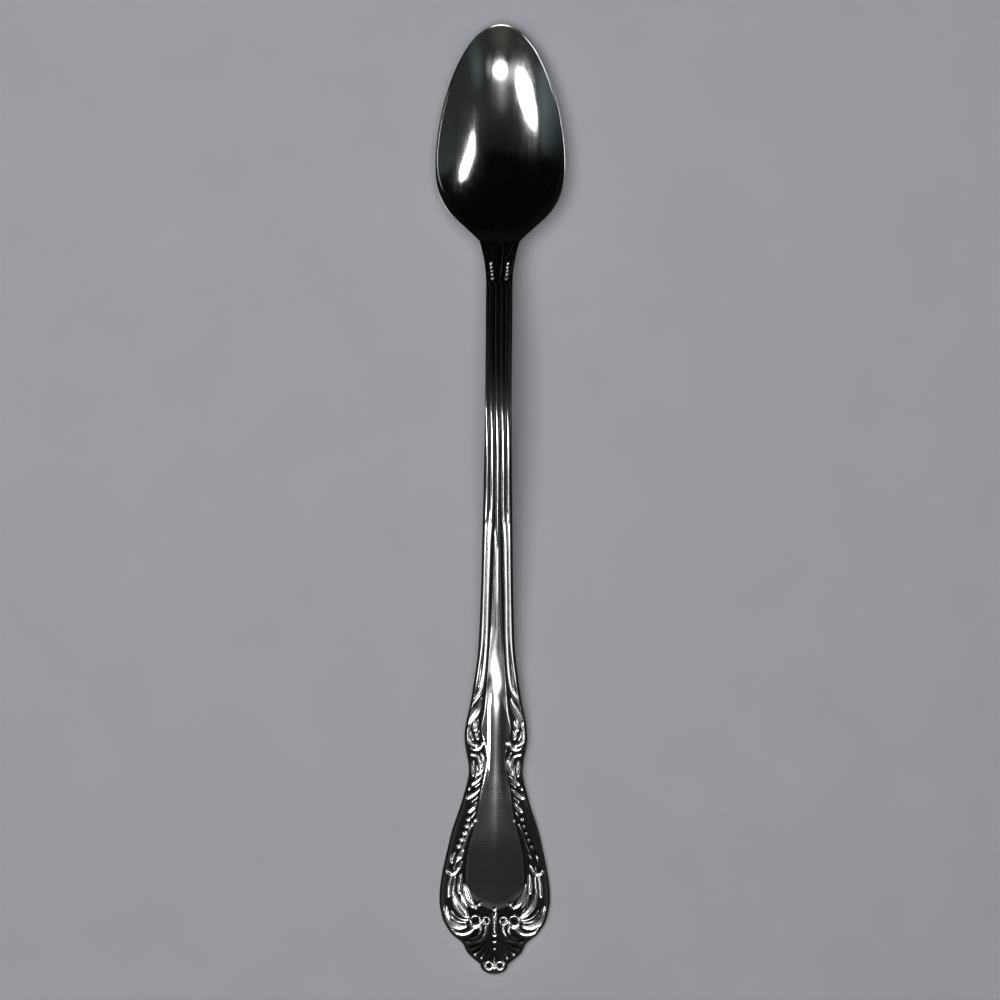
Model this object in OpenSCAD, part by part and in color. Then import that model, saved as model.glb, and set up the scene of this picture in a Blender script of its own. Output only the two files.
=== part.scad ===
// Long-handled baby spoon in polished stainless steel, with struck scroll, leaf and bead ornament.
// The spoon lies on its back: +Y runs from the handle to the bowl, +X is to the right and +Z is up.
// The origin is on the table, under the middle of the spoon.
// The real spoon is one struck piece, so every node below is a stretch of it or a raised detail on it.

/* [Overall] */
// Length from the tip of the bowl to the tip of the handle
spoon_length = 203.2; // [190:0.2:220]

/* [Bowl] */
// Length of the bowl from its tip to the neck
bowl_length = 46.5; // [43:0.5:51]
// Width of the bowl at its widest line
bowl_width = 27.7; // [24:0.1:31]
// Distance from the tip of the bowl to its widest line
bowl_widest_distance = 30; // [27:0.5:33]
// Distance from the tip of the bowl to its lowest point
bowl_lowest_distance = 26; // [22:0.5:29]
// Depth of the hollow below the rim at the widest line
bowl_depth = 6.4; // [5.6:0.1:8]
// Thickness of the bowl at its lowest point
bowl_wall = 1.2; // [0.9:0.05:1.6]
// Roundness of the hollow, from a parabola at 2 to a flatter floor above it
bowl_roundness = 2.2; // [2:0.05:2.8]
// Power of the front outline, where 2 gives an ellipse
bowl_point = 1.74; // [1.5:0.02:2]
// Length of the full cheek behind the widest line
cheek_length = 10.3; // [8:0.1:12]
// Length over which the edge runs in to the neck
cheek_lead = 5.1; // [4:0.1:6]
// Spread of the edge where it starts to run in to the neck
cheek_spread = 4.7; // [4:0.1:5.5]
// Distance from the end of the hollow to the neck
heel_length = 1.8; // [1.2:0.1:3]
// Height of the outer edge of the rim
rim_thickness = 0.9; // [0.6:0.05:1.2]
// Width of the land on top of the rim
rim_land = 0.3; // [0.2:0.05:0.8]
// Fall of the land from its inner to its outer edge
rim_fall = 0.15; // [0.05:0.05:0.3]
// Fall of the rim from the widest line to the tip
rim_drop = 2; // [1:0.1:3]

/* [Neck and stem] */
// Width where the bowl runs into the neck
neck_width = 8.6; // [7.6:0.1:10]
// Length of the neck
neck_length = 10; // [9:0.5:13]
// Height of the back of the neck above the table, at the bowl
neck_height = 6.6; // [5.5:0.1:8]
// Thickness of the neck where it leaves the bowl
neck_thickness = 2; // [1.7:0.1:2.6]
// Power of the flare of the neck, where 1 gives straight sides
neck_flare = 2.2; // [1.6:0.1:2.8]
// Width of the stem at its slimmest
stem_width = 5.6; // [5.4:0.1:6.6]
// Thickness of the stem
stem_thickness = 2.9; // [2.4:0.1:3.6]
// Distance from the tip of the handle to the top of the arch
arch_distance = 125; // [118:1:132]
// Height of the back of the stem above the table, at the top of the arch
arch_height = 13; // [11:0.5:17]
// Length of the crest, from the end of the rise to the top of the arch
crest_length = 8; // [5:0.5:12]
// Rise of the back over the crest
crest_rise = 0.5; // [0.2:0.1:1.2]
// Length of the steeper fall of the back to the bowl
fall_length = 6.7; // [4:0.1:10]
// Height of that fall
fall_height = 1.9; // [1:0.1:2.6]
// Rounding of the edges under the stem and the handle
under_round = 0.7; // [0.4:0.1:0.9]
// Small bevel along the upper edges
top_bevel = 0.15; // [0.1:0.05:0.25]
// Width of the tongue on the neck, at the bowl
tongue_width = 2.9; // [2.2:0.1:3]

/* [Handle] */
// Length of the flat back that rests on the table
rest_length = 26; // [14:1:30]
// Distance from the tip to where the centre panel begins between the reeds
panel_distance = 92; // [86:1:98]
// Width of the stem where the panel begins
panel_stem_width = 6.5; // [6.2:0.1:7.2]
// Distance from the tip to the shoulder
shoulder_distance = 50.9; // [49.5:0.1:53]
// Width of the shoulder
shoulder_width = 13.4; // [12.8:0.1:15]
// Distance from the tip to the waist
waist_distance = 43.6; // [42.5:0.1:45]
// Width of the waist
waist_width = 11.5; // [11.2:0.1:12.6]
// Height of the back of the waist above the table
waist_height = 0.5; // [0.3:0.1:3.2]
// Distance from the tip to the middle of the handle's rise
rise_distance = 60; // [56:1:78]
// Height of the back above the table, at the middle of the rise
rise_height = 2.5; // [1.8:0.1:9]
// Share of the way from the rise to the crest where the handle has become the stem
stem_share = 0.7; // [0.6:0.01:0.8]
// Share of the climb to the crest that is done there
climb_share = 0.72; // [0.64:0.01:0.8]
// Distance from the tip to the widest line of the handle
widest_distance = 16; // [15.4:0.1:17]
// Width of the handle at its widest line
handle_width = 23.7; // [22.6:0.1:26]
// Distance from the tip to the notch above the fan
notch_distance = 6.5; // [6.2:0.1:7]
// Width at the notch
notch_width = 13.6; // [13:0.1:15]
// Length of the round lobe at the tip
lobe_length = 2; // [1.8:0.1:2.3]
// Width of the round lobe at the tip
lobe_width = 5.8; // [5.5:0.1:6.4]
// Width of the short flat across the very tip
tip_flat = 1.6; // [1:0.1:2.2]
// Thickness of the handle at its waist
waist_thickness = 2.4; // [2:0.1:3]
// Thickness of the handle where it rests on the table
handle_thickness = 2; // [1.6:0.1:2.6]

/* [Centre panel] */
// Distance from the tip to the lower end of the panel
panel_end_distance = 14.7; // [14.5:0.1:15.4]
// Distance from the tip to the widest line of the panel
panel_widest_distance = 20.5; // [19.5:0.1:21.5]
// Share of the handle's width that the panel takes at its widest
panel_share = 0.515; // [0.46:0.005:0.52]
// Share of the shoulder's width that the panel takes
shoulder_share = 0.49; // [0.42:0.01:0.5]
// Share of the waist's width that the panel takes
waist_share = 0.33; // [0.28:0.01:0.34]
// Width of the panel where it begins between the reeds
panel_start_width = 1.4; // [0.16:0.02:1.6]
// Clearance between the panel and the scroll round its lower corners
panel_gap = 0.15; // [0.1:0.01:0.25]
// Height of the crown of the panel
panel_crown = 0.55; // [0.3:0.05:0.8]

/* [Ornament] */
// Gap left under every raised detail
seat_gap = 0.02; // [0.01:0.01:0.05]
// Width of a reed on the stem
reed_width = 0.9; // [0.7:0.02:0.96]
// Height of a reed
reed_height = 0.45; // [0.3:0.05:0.6]
// Width of a leaf
leaf_width = 0.7; // [0.5:0.02:0.74]
// Width of the broad leaves at the shoulder and the waist
broad_leaf_width = 1; // [0.8:0.02:1.04]
// Height of the leaves
leaf_height = 0.6; // [0.4:0.05:0.8]
// Height of the scrolls
scroll_height = 0.55; // [0.4:0.05:0.8]
// Width of a scroll's band
scroll_width = 0.52; // [0.4:0.02:0.56]
// Share of a leaf's or scroll's width and height that is left at its ends
point_share = 0.35; // [0.25:0.05:0.6]
// Number of beads in each row on the border
border_bead_count = 5; // [3:1:5]
// Radius of a border bead
border_bead_radius = 0.55; // [0.4:0.05:0.6]
// Number of beads in each row on the neck
neck_bead_count = 5; // [3:1:5]
// Radius of a neck bead
neck_bead_radius = 0.35; // [0.25:0.05:0.36]
// Number of leaves along each side above the border beads
border_leaf_count = 4; // [3:1:4]
// Distance of the raised rim from the edge of the handle
rim_inset = 0.45; // [0.35:0.05:0.55]
// Width of the raised rim
rim_width = 0.44; // [0.3:0.02:0.5]
// Radius of the ring of a large volute
large_volute_radius = 0.85; // [0.7:0.05:0.9]
// Radius of the ring of a small volute
small_volute_radius = 0.62; // [0.5:0.02:0.64]
// Radius of the ring of a volute at the tip
tip_volute_radius = 0.6; // [0.5:0.02:0.62]
// Width of the swelling of the centre stalk
stalk_width = 1.04; // [0.8:0.04:1.2]
// Radius of a bead on the middle line
stalk_bead_radius = 0.42; // [0.3:0.02:0.46]
// Length of the scroll round each lower corner of the panel
corner_length = 4; // [3:0.1:5]
// Radius of the bead that ends a panel corner
corner_bead_radius = 0.3; // [0.2:0.02:0.34]

/* [Hidden] */

$fn = 32;
plain_steel = [0.70, 0.71, 0.72];
bright_steel = [0.84, 0.84, 0.83];
tip_y = -spoon_length / 2;
neck_from = spoon_length - bowl_length;
neck_to = neck_from - neck_length;
bowl_tip_y = spoon_length / 2;
tilt_step = 0.5;
lean_step = 0.01;
corner_width = scroll_width * 0.8;
corner_clear = panel_gap + corner_width / 2;

// Smooth curves through a few named points

// Slope of the straight line from row i to row i + 1 of a table
function rise(table, i) = (table[i + 1][1] - table[i][1]) / (table[i + 1][0] - table[i][0]);

// Slope of the curve at row i, level where the table turns back
function slope_at(table, i) =
  let (last = len(table) - 1)
  i == 0 ? rise(table, 0)
  : i == last ? rise(table, last - 1)
  : let (before = rise(table, i - 1), after = rise(table, i))
    before * after <= 0 ? 0 : 2 * before * after / (before + after);

function row_of(table, x, i = 0) =
  i >= len(table) - 2 || x < table[i + 1][0] ? i : row_of(table, x, i + 1);

// Value at x of the smooth curve through the rows [x, value] of a table
function smooth(table, x) =
  let (
    i = row_of(table, x),
    span = table[i + 1][0] - table[i][0],
    u = (x - table[i][0]) / span,
    v = 1 - u
  )
  table[i][1] * (1 + 2 * u) * v * v
  + table[i + 1][1] * (1 + 2 * v) * u * u
  + slope_at(table, i) * span * u * v * v
  - slope_at(table, i + 1) * span * v * u * u;

// Curve of the vectors a, b, c and d from b to c
function thread(a, b, c, d, u) =
  b + (c - a) * u / 2
  + (2 * a - 5 * b + 4 * c - d) * u * u / 2
  + (3 * b - a - 3 * c + d) * u * u * u / 2;

// Smooth path through the given points, with so many steps between each two
function path_through(points, steps = 3) =
  let (last = len(points) - 1)
  concat(
    [
      for (i = [0 : last - 1], k = [0 : steps - 1])
        thread(points[max(i - 1, 0)], points[i], points[i + 1], points[min(i + 2, last)], k / steps)
    ],
    [points[last]]
  );

function bezier(a, b, c, d, u) =
  let (v = 1 - u)
  a * v * v * v + b * 3 * u * v * v + c * 3 * u * u * v + d * u * u * u;

function steps_between(a, b, count) = [for (i = [0 : count - 1]) a + (b - a) * i / count];

// Outline and side view, by the distance from the tip of the handle

// The shares between the named points draw the outline's curves
slim_distance = panel_distance + (neck_to - panel_distance) * 0.68;
handle_outline = [
  [lobe_length, lobe_width / 2],
  [notch_distance * 0.7, notch_width * 0.425],
  [notch_distance, notch_width / 2],
  [notch_distance + (widest_distance - notch_distance) * 0.225, (notch_width + handle_width) * 0.249],
  [widest_distance * 0.76, handle_width * 0.474],
  [widest_distance, handle_width / 2],
  [widest_distance + (waist_distance - widest_distance) * 0.47, handle_width * 0.41],
  [widest_distance + (waist_distance - widest_distance) * 0.8, waist_width * 0.6],
  [waist_distance, waist_width / 2],
  [shoulder_distance, shoulder_width / 2],
  [shoulder_distance + (panel_distance - shoulder_distance) * 0.215, shoulder_width * 0.39],
  [shoulder_distance + (panel_distance - shoulder_distance) * 0.5, panel_stem_width * 0.585],
  [panel_distance, panel_stem_width / 2],
  [slim_distance, stem_width / 2],
  [neck_to, stem_width / 2]
];
function lobe_half(d) =
  let (share = 1 - d / lobe_length)
  sqrt(pow(tip_flat / 2, 2) + (pow(lobe_width / 2, 2) - pow(tip_flat / 2, 2)) * (1 - share * share));
function neck_half(d) =
  let (share = (d - neck_to) / neck_length)
  stem_width / 2 + (neck_width - stem_width) / 2 * pow(share, neck_flare);
function half_width(d) =
  d < lobe_length ? lobe_half(d)
  : d < neck_to ? smooth(handle_outline, d)
  : neck_half(d);

crest_from = [arch_distance - crest_length, arch_height - crest_rise];
back_line = [
  [0, 0], [rest_length, 0], [waist_distance, waist_height], [rise_distance, rise_height],
  [
    rise_distance + (crest_from[0] - rise_distance) * stem_share,
    rise_height + (crest_from[1] - rise_height) * climb_share
  ],
  crest_from, [arch_distance, arch_height],
  [neck_from - fall_length, neck_height + fall_height], [neck_from, neck_height]
];
thickness_line = [
  [0, handle_thickness], [widest_distance, handle_thickness], [waist_distance, waist_thickness],
  [panel_distance, stem_thickness], [neck_to, stem_thickness], [neck_from, neck_thickness]
];
function back_z(d) = smooth(back_line, d);
function top_z(d) = back_z(d) + smooth(thickness_line, d);
function seat_z(d) = top_z(d) + seat_gap;
function seat_tilt(d) = atan2(top_z(d + tilt_step) - top_z(d - tilt_step), 2 * tilt_step);

// Ornament is placed by station: 0 is the tip, 1 the notch, 2 the widest line, 3 the waist, 4 the shoulder,
// 5 the start of the panel, 6 the end of the stem and 7 the end of the neck
landmarks = [
  [0, 0], [1, notch_distance], [2, widest_distance], [3, waist_distance],
  [4, shoulder_distance], [5, panel_distance], [6, neck_to], [7, neck_from]
];
function along(station) = lookup(station, landmarks);

panel_width = handle_width * panel_share;
panel_shoulder_width = shoulder_width * shoulder_share;
panel_waist_width = waist_width * waist_share;
panel_outline = [
  [panel_end_distance, panel_width * 0.26],
  [panel_end_distance + 0.5, panel_width * 0.38],
  [panel_end_distance + 1.4, panel_width * 0.46],
  [panel_widest_distance, panel_width / 2],
  [widest_distance + (waist_distance - widest_distance) * 0.31, panel_width * 0.485],
  [widest_distance + (waist_distance - widest_distance) * 0.58, panel_width * 0.35],
  [widest_distance + (waist_distance - widest_distance) * 0.78, panel_width * 0.255],
  [waist_distance + (shoulder_distance - waist_distance) * 0.22, panel_waist_width / 2],
  [waist_distance + (shoulder_distance - waist_distance) * 0.75, panel_shoulder_width * 0.38],
  [shoulder_distance + 1.5, panel_shoulder_width / 2],
  [shoulder_distance + (panel_distance - shoulder_distance) * 0.14, panel_shoulder_width * 0.405],
  [shoulder_distance + (panel_distance - shoulder_distance) * 0.36, panel_shoulder_width * 0.295],
  [shoulder_distance + (panel_distance - shoulder_distance) * 0.5, panel_shoulder_width * 0.235],
  [panel_distance, panel_start_width / 2]
];
function panel_half(d) = smooth(panel_outline, d);

// Point at a clear distance outside the edge of the panel, as [x, distance from the tip]
function beside_panel(d, clear) =
  let (lean = (panel_half(d + lean_step) - panel_half(d)) / lean_step, size = norm([1, lean]))
  [panel_half(d) + clear / size, d - clear * lean / size];

// Solids

// Closed skin over a row of rings that all have as many points, with a fan at each end
module loft(rings) {
  count = len(rings[0]);
  last = len(rings) - 1;
  ends = [for (ring = [rings[0], rings[last]]) [for (axis = [0 : 2]) sum_of(ring, axis) / count]];
  points = concat([for (ring = rings) each ring], ends);
  first_end = count * (last + 1);
  skin = [
    for (r = [0 : last - 1], i = [0 : count - 1])
      let (j = (i + 1) % count, a = r * count + i, b = r * count + j)
      each [[a, b, b + count], [a, b + count, a + count]]
  ];
  caps = [
    for (i = [0 : count - 1])
      let (j = (i + 1) % count)
      each [[first_end, j, i], [first_end + 1, last * count + i, last * count + j]]
  ];
  polyhedron(points, concat(skin, caps));
}
function sum_of(ring, axis, i = 0) = i == len(ring) ? 0 : ring[i][axis] + sum_of(ring, axis, i + 1);

// Section of the blank, with a flat top, a flat back and rounded lower edges
function blank_section(d) =
  let (
    half = half_width(d),
    low = back_z(d),
    high = top_z(d),
    r = min(under_round, half * 0.45),
    c = min(top_bevel, half * 0.2),
    near = r * (1 - cos(45)),
    side = [
      [half - c, high], [half, high - c], [half, low + r], [half - near, low + near], [half - r, low]
    ],
    other = [for (i = [len(side) - 1 : -1 : 0]) [-side[i][0], side[i][1]]]
  )
  [for (p = concat(side, other)) [p[0], tip_y + d, p[1]]];

module blank(stations) {
  loft([for (d = stations) blank_section(d)]);
}

half_round = [[-1, 0], [-0.75, 0.62], [0, 1], [0.75, 0.62], [1, 0]];

// Raised band with a half-round top, along points of [x, distance from the tip, half width, height]
module ridge(points, steps = 3) {
  path = path_through(points, steps);
  last = len(path) - 1;
  loft([
    for (i = [0 : last])
      let (
        way = path[min(i + 1, last)] - path[max(i - 1, 0)],
        size = norm([way[0], way[1]]),
        across = [way[1], -way[0]] / size,
        p = path[i]
      )
      [
        for (side = half_round)
          let (x = p[0] + across[0] * side[0] * p[2], d = p[1] + across[1] * side[0] * p[2])
          [x, tip_y + d, seat_z(d) + side[1] * p[3]]
      ]
  ]);
}

// Leaf, scroll or reed through places of [station, share of the half width], pointed at both ends
module stroke(places, width, height, steps = 3) {
  last = len(places) - 1;
  ridge([
    for (i = [0 : last])
      let (d = along(places[i][0]), fullness = i == 0 || i == last ? point_share : 1)
      [places[i][1] * half_width(d), d, width / 2 * fullness, height * fullness]
  ], steps);
}

// The same detail on the right and on the left
module both_sides() {
  children();
  mirror([1, 0, 0]) children();
}

// Stands a detail on the blank, at a distance from the tip
module on_plate(x, d) {
  translate([x, tip_y + d, seat_z(d)]) rotate([seat_tilt(d), 0, 0]) children();
}

// Stands a detail on the blank at a station and a share of the half width
module seated(station, share) {
  d = along(station);
  on_plate(share * half_width(d), d) children();
}

module dome(radius) {
  intersection() {
    circle(radius);
    translate([0, radius / 2]) square([2 * radius, radius], center = true);
  }
}

module bead(radius) {
  rotate_extrude() intersection() {
    dome(radius);
    square(radius);
  }
}

// Ring with a round top
module eye(radius, width, height) {
  rotate_extrude() translate([radius, 0]) {
    translate([0, height - width / 2]) dome(width / 2);
    translate([-width / 2, 0]) square([width, height - width / 2]);
  }
}

// Bowl

front_steps = 14;
back_steps = 9;
hollow_rings = 8;
neck_shares = [0.84, 0, -0.84];
heel_angle = 78;
belly_blend = 4;
hollow_half = bowl_width / 2 - rim_land;
hollow_end = bowl_length - heel_length;
lowest = [0, bowl_lowest_distance];

function rim_z(s) =
  smooth(
    [
      [0, bowl_wall + bowl_depth - rim_drop],
      [bowl_widest_distance, bowl_wall + bowl_depth],
      [bowl_length, neck_height + neck_thickness]
    ],
    s
  );

// Points of an outline are [half width, distance from the tip of the bowl]
function front_outline(half, length) = [
  for (i = [0 : front_steps])
    let (a = 90 * i / front_steps)
    [half * sin(a), bowl_widest_distance - length * pow(cos(a), 2 / bowl_point)]
];
// The outer edge runs in to the neck
edge_back = [
  for (i = [1 : back_steps])
    bezier(
      [bowl_width / 2, bowl_widest_distance],
      [bowl_width / 2, bowl_widest_distance + cheek_length],
      [neck_width / 2 + cheek_spread, bowl_length - cheek_lead],
      [neck_width / 2, bowl_length],
      i / back_steps
    )
];
neck_line = [for (share = neck_shares) [share * neck_width / 2, bowl_length]];
// The hollow closes in a round end before the neck
function hollow_at(a) =
  [hollow_half * cos(a), bowl_widest_distance + (hollow_end - bowl_widest_distance) * sin(a)];
hollow_back = [for (i = [1 : back_steps]) hollow_at(heel_angle * i / back_steps)];
heel_line = [for (share = neck_shares) hollow_at(90 - (90 - heel_angle) * share)];

// Both halves of an outline, right side first, with the points at the neck between them
function round_trip(half, middle) =
  concat(half, middle, [for (i = [len(half) - 1 : -1 : 1]) [-half[i][0], half[i][1]]]);
edge = round_trip(concat(front_outline(bowl_width / 2, bowl_widest_distance), edge_back), neck_line);
hollow_front = front_outline(hollow_half, bowl_widest_distance - rim_land);
hollow = round_trip(concat(hollow_front, hollow_back), heel_line);
points_round = len(edge);

function on_neck_line(i) = i > front_steps + back_steps && i <= front_steps + back_steps + len(neck_shares);
// The steel grows thicker from the free rim to the neck
function thickness_to(end, thickness, s) =
  smooth([[0, rim_thickness], [bowl_widest_distance, rim_thickness], [end, thickness]], s);
function edge_thickness(i) =
  on_neck_line(i) ? neck_thickness : thickness_to(bowl_length, neck_thickness - under_round, edge[i][1]);
function belly_thickness(i) = thickness_to(hollow_end, neck_thickness, hollow[i][1]);

module bowl() {
  inside = [
    for (k = [1 : hollow_rings], i = [0 : points_round - 1])
      let (share = k / hollow_rings, q = lowest + (hollow[i] - lowest) * share)
      [q[0], bowl_tip_y - q[1], bowl_wall + (rim_z(hollow[i][1]) - bowl_wall) * pow(share, bowl_roundness)]
  ];
  land = [
    for (i = [0 : points_round - 1])
      [edge[i][0], bowl_tip_y - edge[i][1], rim_z(edge[i][1]) - (on_neck_line(i) ? 0 : rim_fall)]
  ];
  outside = [
    for (k = [hollow_rings : -1 : 1], i = [0 : points_round - 1])
      let (
        share = k / hollow_rings,
        blend = pow(share, belly_blend),
        q = lowest + (hollow[i] + (edge[i] - hollow[i]) * blend - lowest) * share,
        thickness = belly_thickness(i) + (edge_thickness(i) - belly_thickness(i)) * blend
      )
      [q[0], bowl_tip_y - q[1], (rim_z(edge[i][1]) - thickness) * pow(share, bowl_roundness)]
  ];
  floors = [for (z = [bowl_wall, 0]) [0, bowl_tip_y - bowl_lowest_distance, z]];
  rows = 2 * hollow_rings + 1;
  skin = [
    for (r = [0 : rows - 2], i = [0 : points_round - 1])
      let (j = (i + 1) % points_round, a = r * points_round + i, b = r * points_round + j)
      each [[a, b + points_round, b], [a, a + points_round, b + points_round]]
  ];
  fans = [
    for (i = [0 : points_round - 1])
      let (j = (i + 1) % points_round, last = (rows - 1) * points_round)
      each [[rows * points_round, i, j], [rows * points_round + 1, last + j, last + i]]
  ];
  color(bright_steel) polyhedron(concat(inside, land, outside, floors), concat(skin, fans));
}

// Stretches of the blank

module neck() {
  color(plain_steel) blank(concat(steps_between(neck_to, neck_from, 8), [neck_from]));
}

module stem() {
  color(plain_steel) blank(concat(steps_between(panel_distance, neck_to, 14), [neck_to]));
}

module handle_plate() {
  color(plain_steel) blank(concat(
    steps_between(0, lobe_length, 4),
    steps_between(lobe_length, notch_distance, 4),
    steps_between(notch_distance, widest_distance, 7),
    steps_between(widest_distance, waist_distance, 12),
    steps_between(waist_distance, shoulder_distance, 6),
    steps_between(shoulder_distance, panel_distance, 14),
    [panel_distance]
  ));
}

// Plain crowned panel down the middle of the handle
module centre_panel() {
  stations = concat(
    steps_between(panel_end_distance, panel_widest_distance, 5),
    steps_between(panel_widest_distance, waist_distance, 8),
    steps_between(waist_distance, shoulder_distance, 6),
    steps_between(shoulder_distance, panel_distance, 11),
    [panel_distance]
  );
  color(bright_steel) loft([
    for (d = stations)
      let (half = panel_half(d), crown = min(panel_crown, half * 0.5))
      [for (u = [-1 : 0.25 : 1]) [half * u, tip_y + d, seat_z(d) + crown * (1 - u * u)]]
  ]);
}

// Reeds on the stem

module centre_reed() {
  color(bright_steel)
    stroke([[5.97, 0], [5.9, 0], [5.5, 0], [5.12, 0], [5.02, 0]], reed_width, reed_height, 5);
}

module inner_reeds() {
  color(bright_steel) both_sides() stroke([
    [5.97, 0.41], [5.9, 0.41], [5.5, 0.41], [5.16, 0.4], [5, 0.52], [4.75, 0.56], [4.5, 0.56],
    [4.36, 0.565], [4.27, 0.62], [4.225, 0.7], [4.195, 0.83], [4.17, 0.91]
  ], reed_width, reed_height);
}

module outer_reeds() {
  color(bright_steel) both_sides() stroke([
    [6, 0.8], [5.93, 0.8], [5.5, 0.8], [5.16, 0.79], [5, 0.835], [4.75, 0.845], [4.5, 0.85],
    [4.36, 0.87], [4.28, 0.9], [4.215, 0.94]
  ], reed_width, reed_height);
}

// Ornament on the neck

module neck_tongue() {
  color(bright_steel) ridge([
    [0, along(6.96), tongue_width / 2, reed_height * point_share],
    [0, along(6.5), tongue_width / 4, reed_height],
    [0, along(6.04), reed_width / 4, reed_height * point_share]
  ], 4);
}

module neck_beads() {
  color(bright_steel) both_sides() for (i = [0 : neck_bead_count - 1])
    seated(6.2 + 0.08 * i, 0.5) bead(neck_bead_radius);
}

module neck_leaves() {
  color(bright_steel) both_sides() stroke([[6.6, 0.54], [6.77, 0.62], [6.94, 0.7]], leaf_width, leaf_height);
}

// Ornament at the shoulder and the waist

module shoulder_leaves() {
  color(bright_steel) both_sides()
    stroke([[4.195, 0.6], [4.14, 0.72], [4.1, 0.83], [4.07, 0.91]], broad_leaf_width, leaf_height);
}

module shoulder_lobes() {
  color(bright_steel) both_sides() {
    stroke([[4.085, 0.62], [4.06, 0.7], [4.035, 0.775]], broad_leaf_width, leaf_height);
    stroke([[4.03, 0.615], [4, 0.625], [3.93, 0.6]], leaf_width, leaf_height);
  }
}

module shoulder_scrolls() {
  color(bright_steel) both_sides() {
    stroke([
      [4.05, 0.87], [4.015, 0.92], [3.92, 0.9], [3.79, 0.79], [3.74, 0.64], [3.74, 0.53], [3.79, 0.455]
    ], scroll_width, scroll_height);
    stroke([[3.655, 0.8], [3.625, 0.7], [3.62, 0.6]], scroll_width * 0.8, scroll_height);
  }
}

module waist_scrolls() {
  color(bright_steel) both_sides() {
    stroke([
      [3.475, 0.83], [3.455, 0.69], [3.36, 0.6], [3.23, 0.58], [3.13, 0.585]
    ], scroll_width * 0.85, scroll_height);
    stroke([[3.525, 0.48], [3.315, 0.42], [3.17, 0.43], [3.01, 0.5]], leaf_width * 0.9, leaf_height);
  }
}

module waist_leaves() {
  color(bright_steel) both_sides()
    stroke([[3.265, 0.79], [3.05, 0.8], [2.955, 0.8]], broad_leaf_width, leaf_height);
}

// Ornament along the border of the handle

module border_leaves() {
  color(bright_steel) both_sides() for (i = [0 : border_leaf_count - 1]) {
    station = 2.93 - 0.068 * i;
    stroke([[station + 0.02, 0.56], [station, 0.68], [station - 0.022, 0.8]], leaf_width, leaf_height);
  }
}

module border_beads() {
  color(bright_steel) both_sides() for (i = [0 : border_bead_count - 1])
    seated(2.625 - 0.0525 * i, 0.69 + 0.02 * i) bead(border_bead_radius);
}

module border_ridges() {
  color(bright_steel) both_sides() stroke([
    [2.6, 0.565], [2.57, 0.585], [2.53, 0.61], [2.44, 0.65], [2.375, 0.705], [2.335, 0.77]
  ], scroll_width * 0.8, scroll_height);
}

module border_rim() {
  color(bright_steel) both_sides() ridge([
    for (station = [2.9 : -0.1 : 1.7])
      let (d = along(station)) [half_width(d) - rim_inset, d, rim_width / 2, reed_height]
  ], 2);
}

module panel_corners() {
  color(bright_steel) both_sides() ridge([
    for (share = [1, 0.7, 0.45, 0.25, 0.1, 0])
      let (
        p = beside_panel(panel_end_distance + corner_length * share, corner_clear),
        fullness = share == 1 || share == 0 ? point_share : 1
      )
      [p[0], p[1], corner_width / 2 * fullness, scroll_height * fullness]
  ]);
}

// Bead that ends each scroll, clear of it and of the panel
module corner_beads() {
  end = beside_panel(panel_end_distance, corner_clear);
  x = end[0] - corner_bead_radius - corner_width;
  d = panel_end_distance - panel_gap - corner_bead_radius;
  color(bright_steel) both_sides() on_plate(x, d) bead(corner_bead_radius);
}

module lower_leaves() {
  color(bright_steel) both_sides() {
    stroke([[2.36, 0.655], [2.335, 0.675], [2.312, 0.71]], leaf_width, leaf_height);
    stroke([[2.285, 0.66], [2.255, 0.69], [2.225, 0.725]], leaf_width, leaf_height);
    stroke([[2.345, 0.84], [2.315, 0.845], [2.27, 0.84]], leaf_width, leaf_height);
    stroke([[2.16, 0.82], [2.1, 0.825], [2.05, 0.83]], leaf_width, leaf_height);
    stroke([[2.165, 0.65], [2.115, 0.65], [2.065, 0.645]], leaf_width, leaf_height);
  }
}

module wing_leaves() {
  color(bright_steel) both_sides() {
    stroke([[2.02, 0.585], [1.93, 0.525], [1.86, 0.455]], leaf_width, leaf_height);
    stroke([[2.04, 0.755], [1.94, 0.69], [1.76, 0.62], [1.62, 0.55], [1.59, 0.49]], leaf_width, leaf_height);
    stroke([[1.76, 0.79], [1.62, 0.7], [1.53, 0.57]], leaf_width, leaf_height);
    stroke([[1.72, 0.89], [1.57, 0.87], [1.43, 0.81], [1.4, 0.66]], leaf_width, leaf_height);
    stroke([[1.31, 0.89], [1.235, 0.84], [1.22, 0.72], [1.3, 0.5], [1.37, 0.38]], leaf_width, leaf_height);
  }
}

module large_volutes() {
  color(bright_steel) both_sides() seated(1.53, 0.37) eye(large_volute_radius, scroll_width, scroll_height);
}

module small_volutes() {
  color(bright_steel) both_sides() seated(1.515, 0.177)
    eye(small_volute_radius, scroll_width * 0.9, scroll_height);
}

module volute_tails() {
  color(bright_steel) both_sides()
    stroke([[1.37, 0.2], [1.23, 0.24], [1.09, 0.4], [1.05, 0.55]], scroll_width, scroll_height);
}

// Ornament on the middle line and the fan

module centre_stalk() {
  color(bright_steel) ridge([
    [0, along(1.7), stalk_width / 6, leaf_height * point_share],
    [0, along(1.63), stalk_width / 2, leaf_height],
    [0, along(1.53), stalk_width / 3, leaf_height],
    [0, along(1.31), stalk_width / 6, leaf_height * point_share]
  ]);
}

module stalk_beads() {
  color(bright_steel) {
    seated(1.785, 0) bead(stalk_bead_radius);
    for (i = [0 : 2]) seated(1.2 - 0.16 * i, 0) bead(stalk_bead_radius);
  }
}

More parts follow.
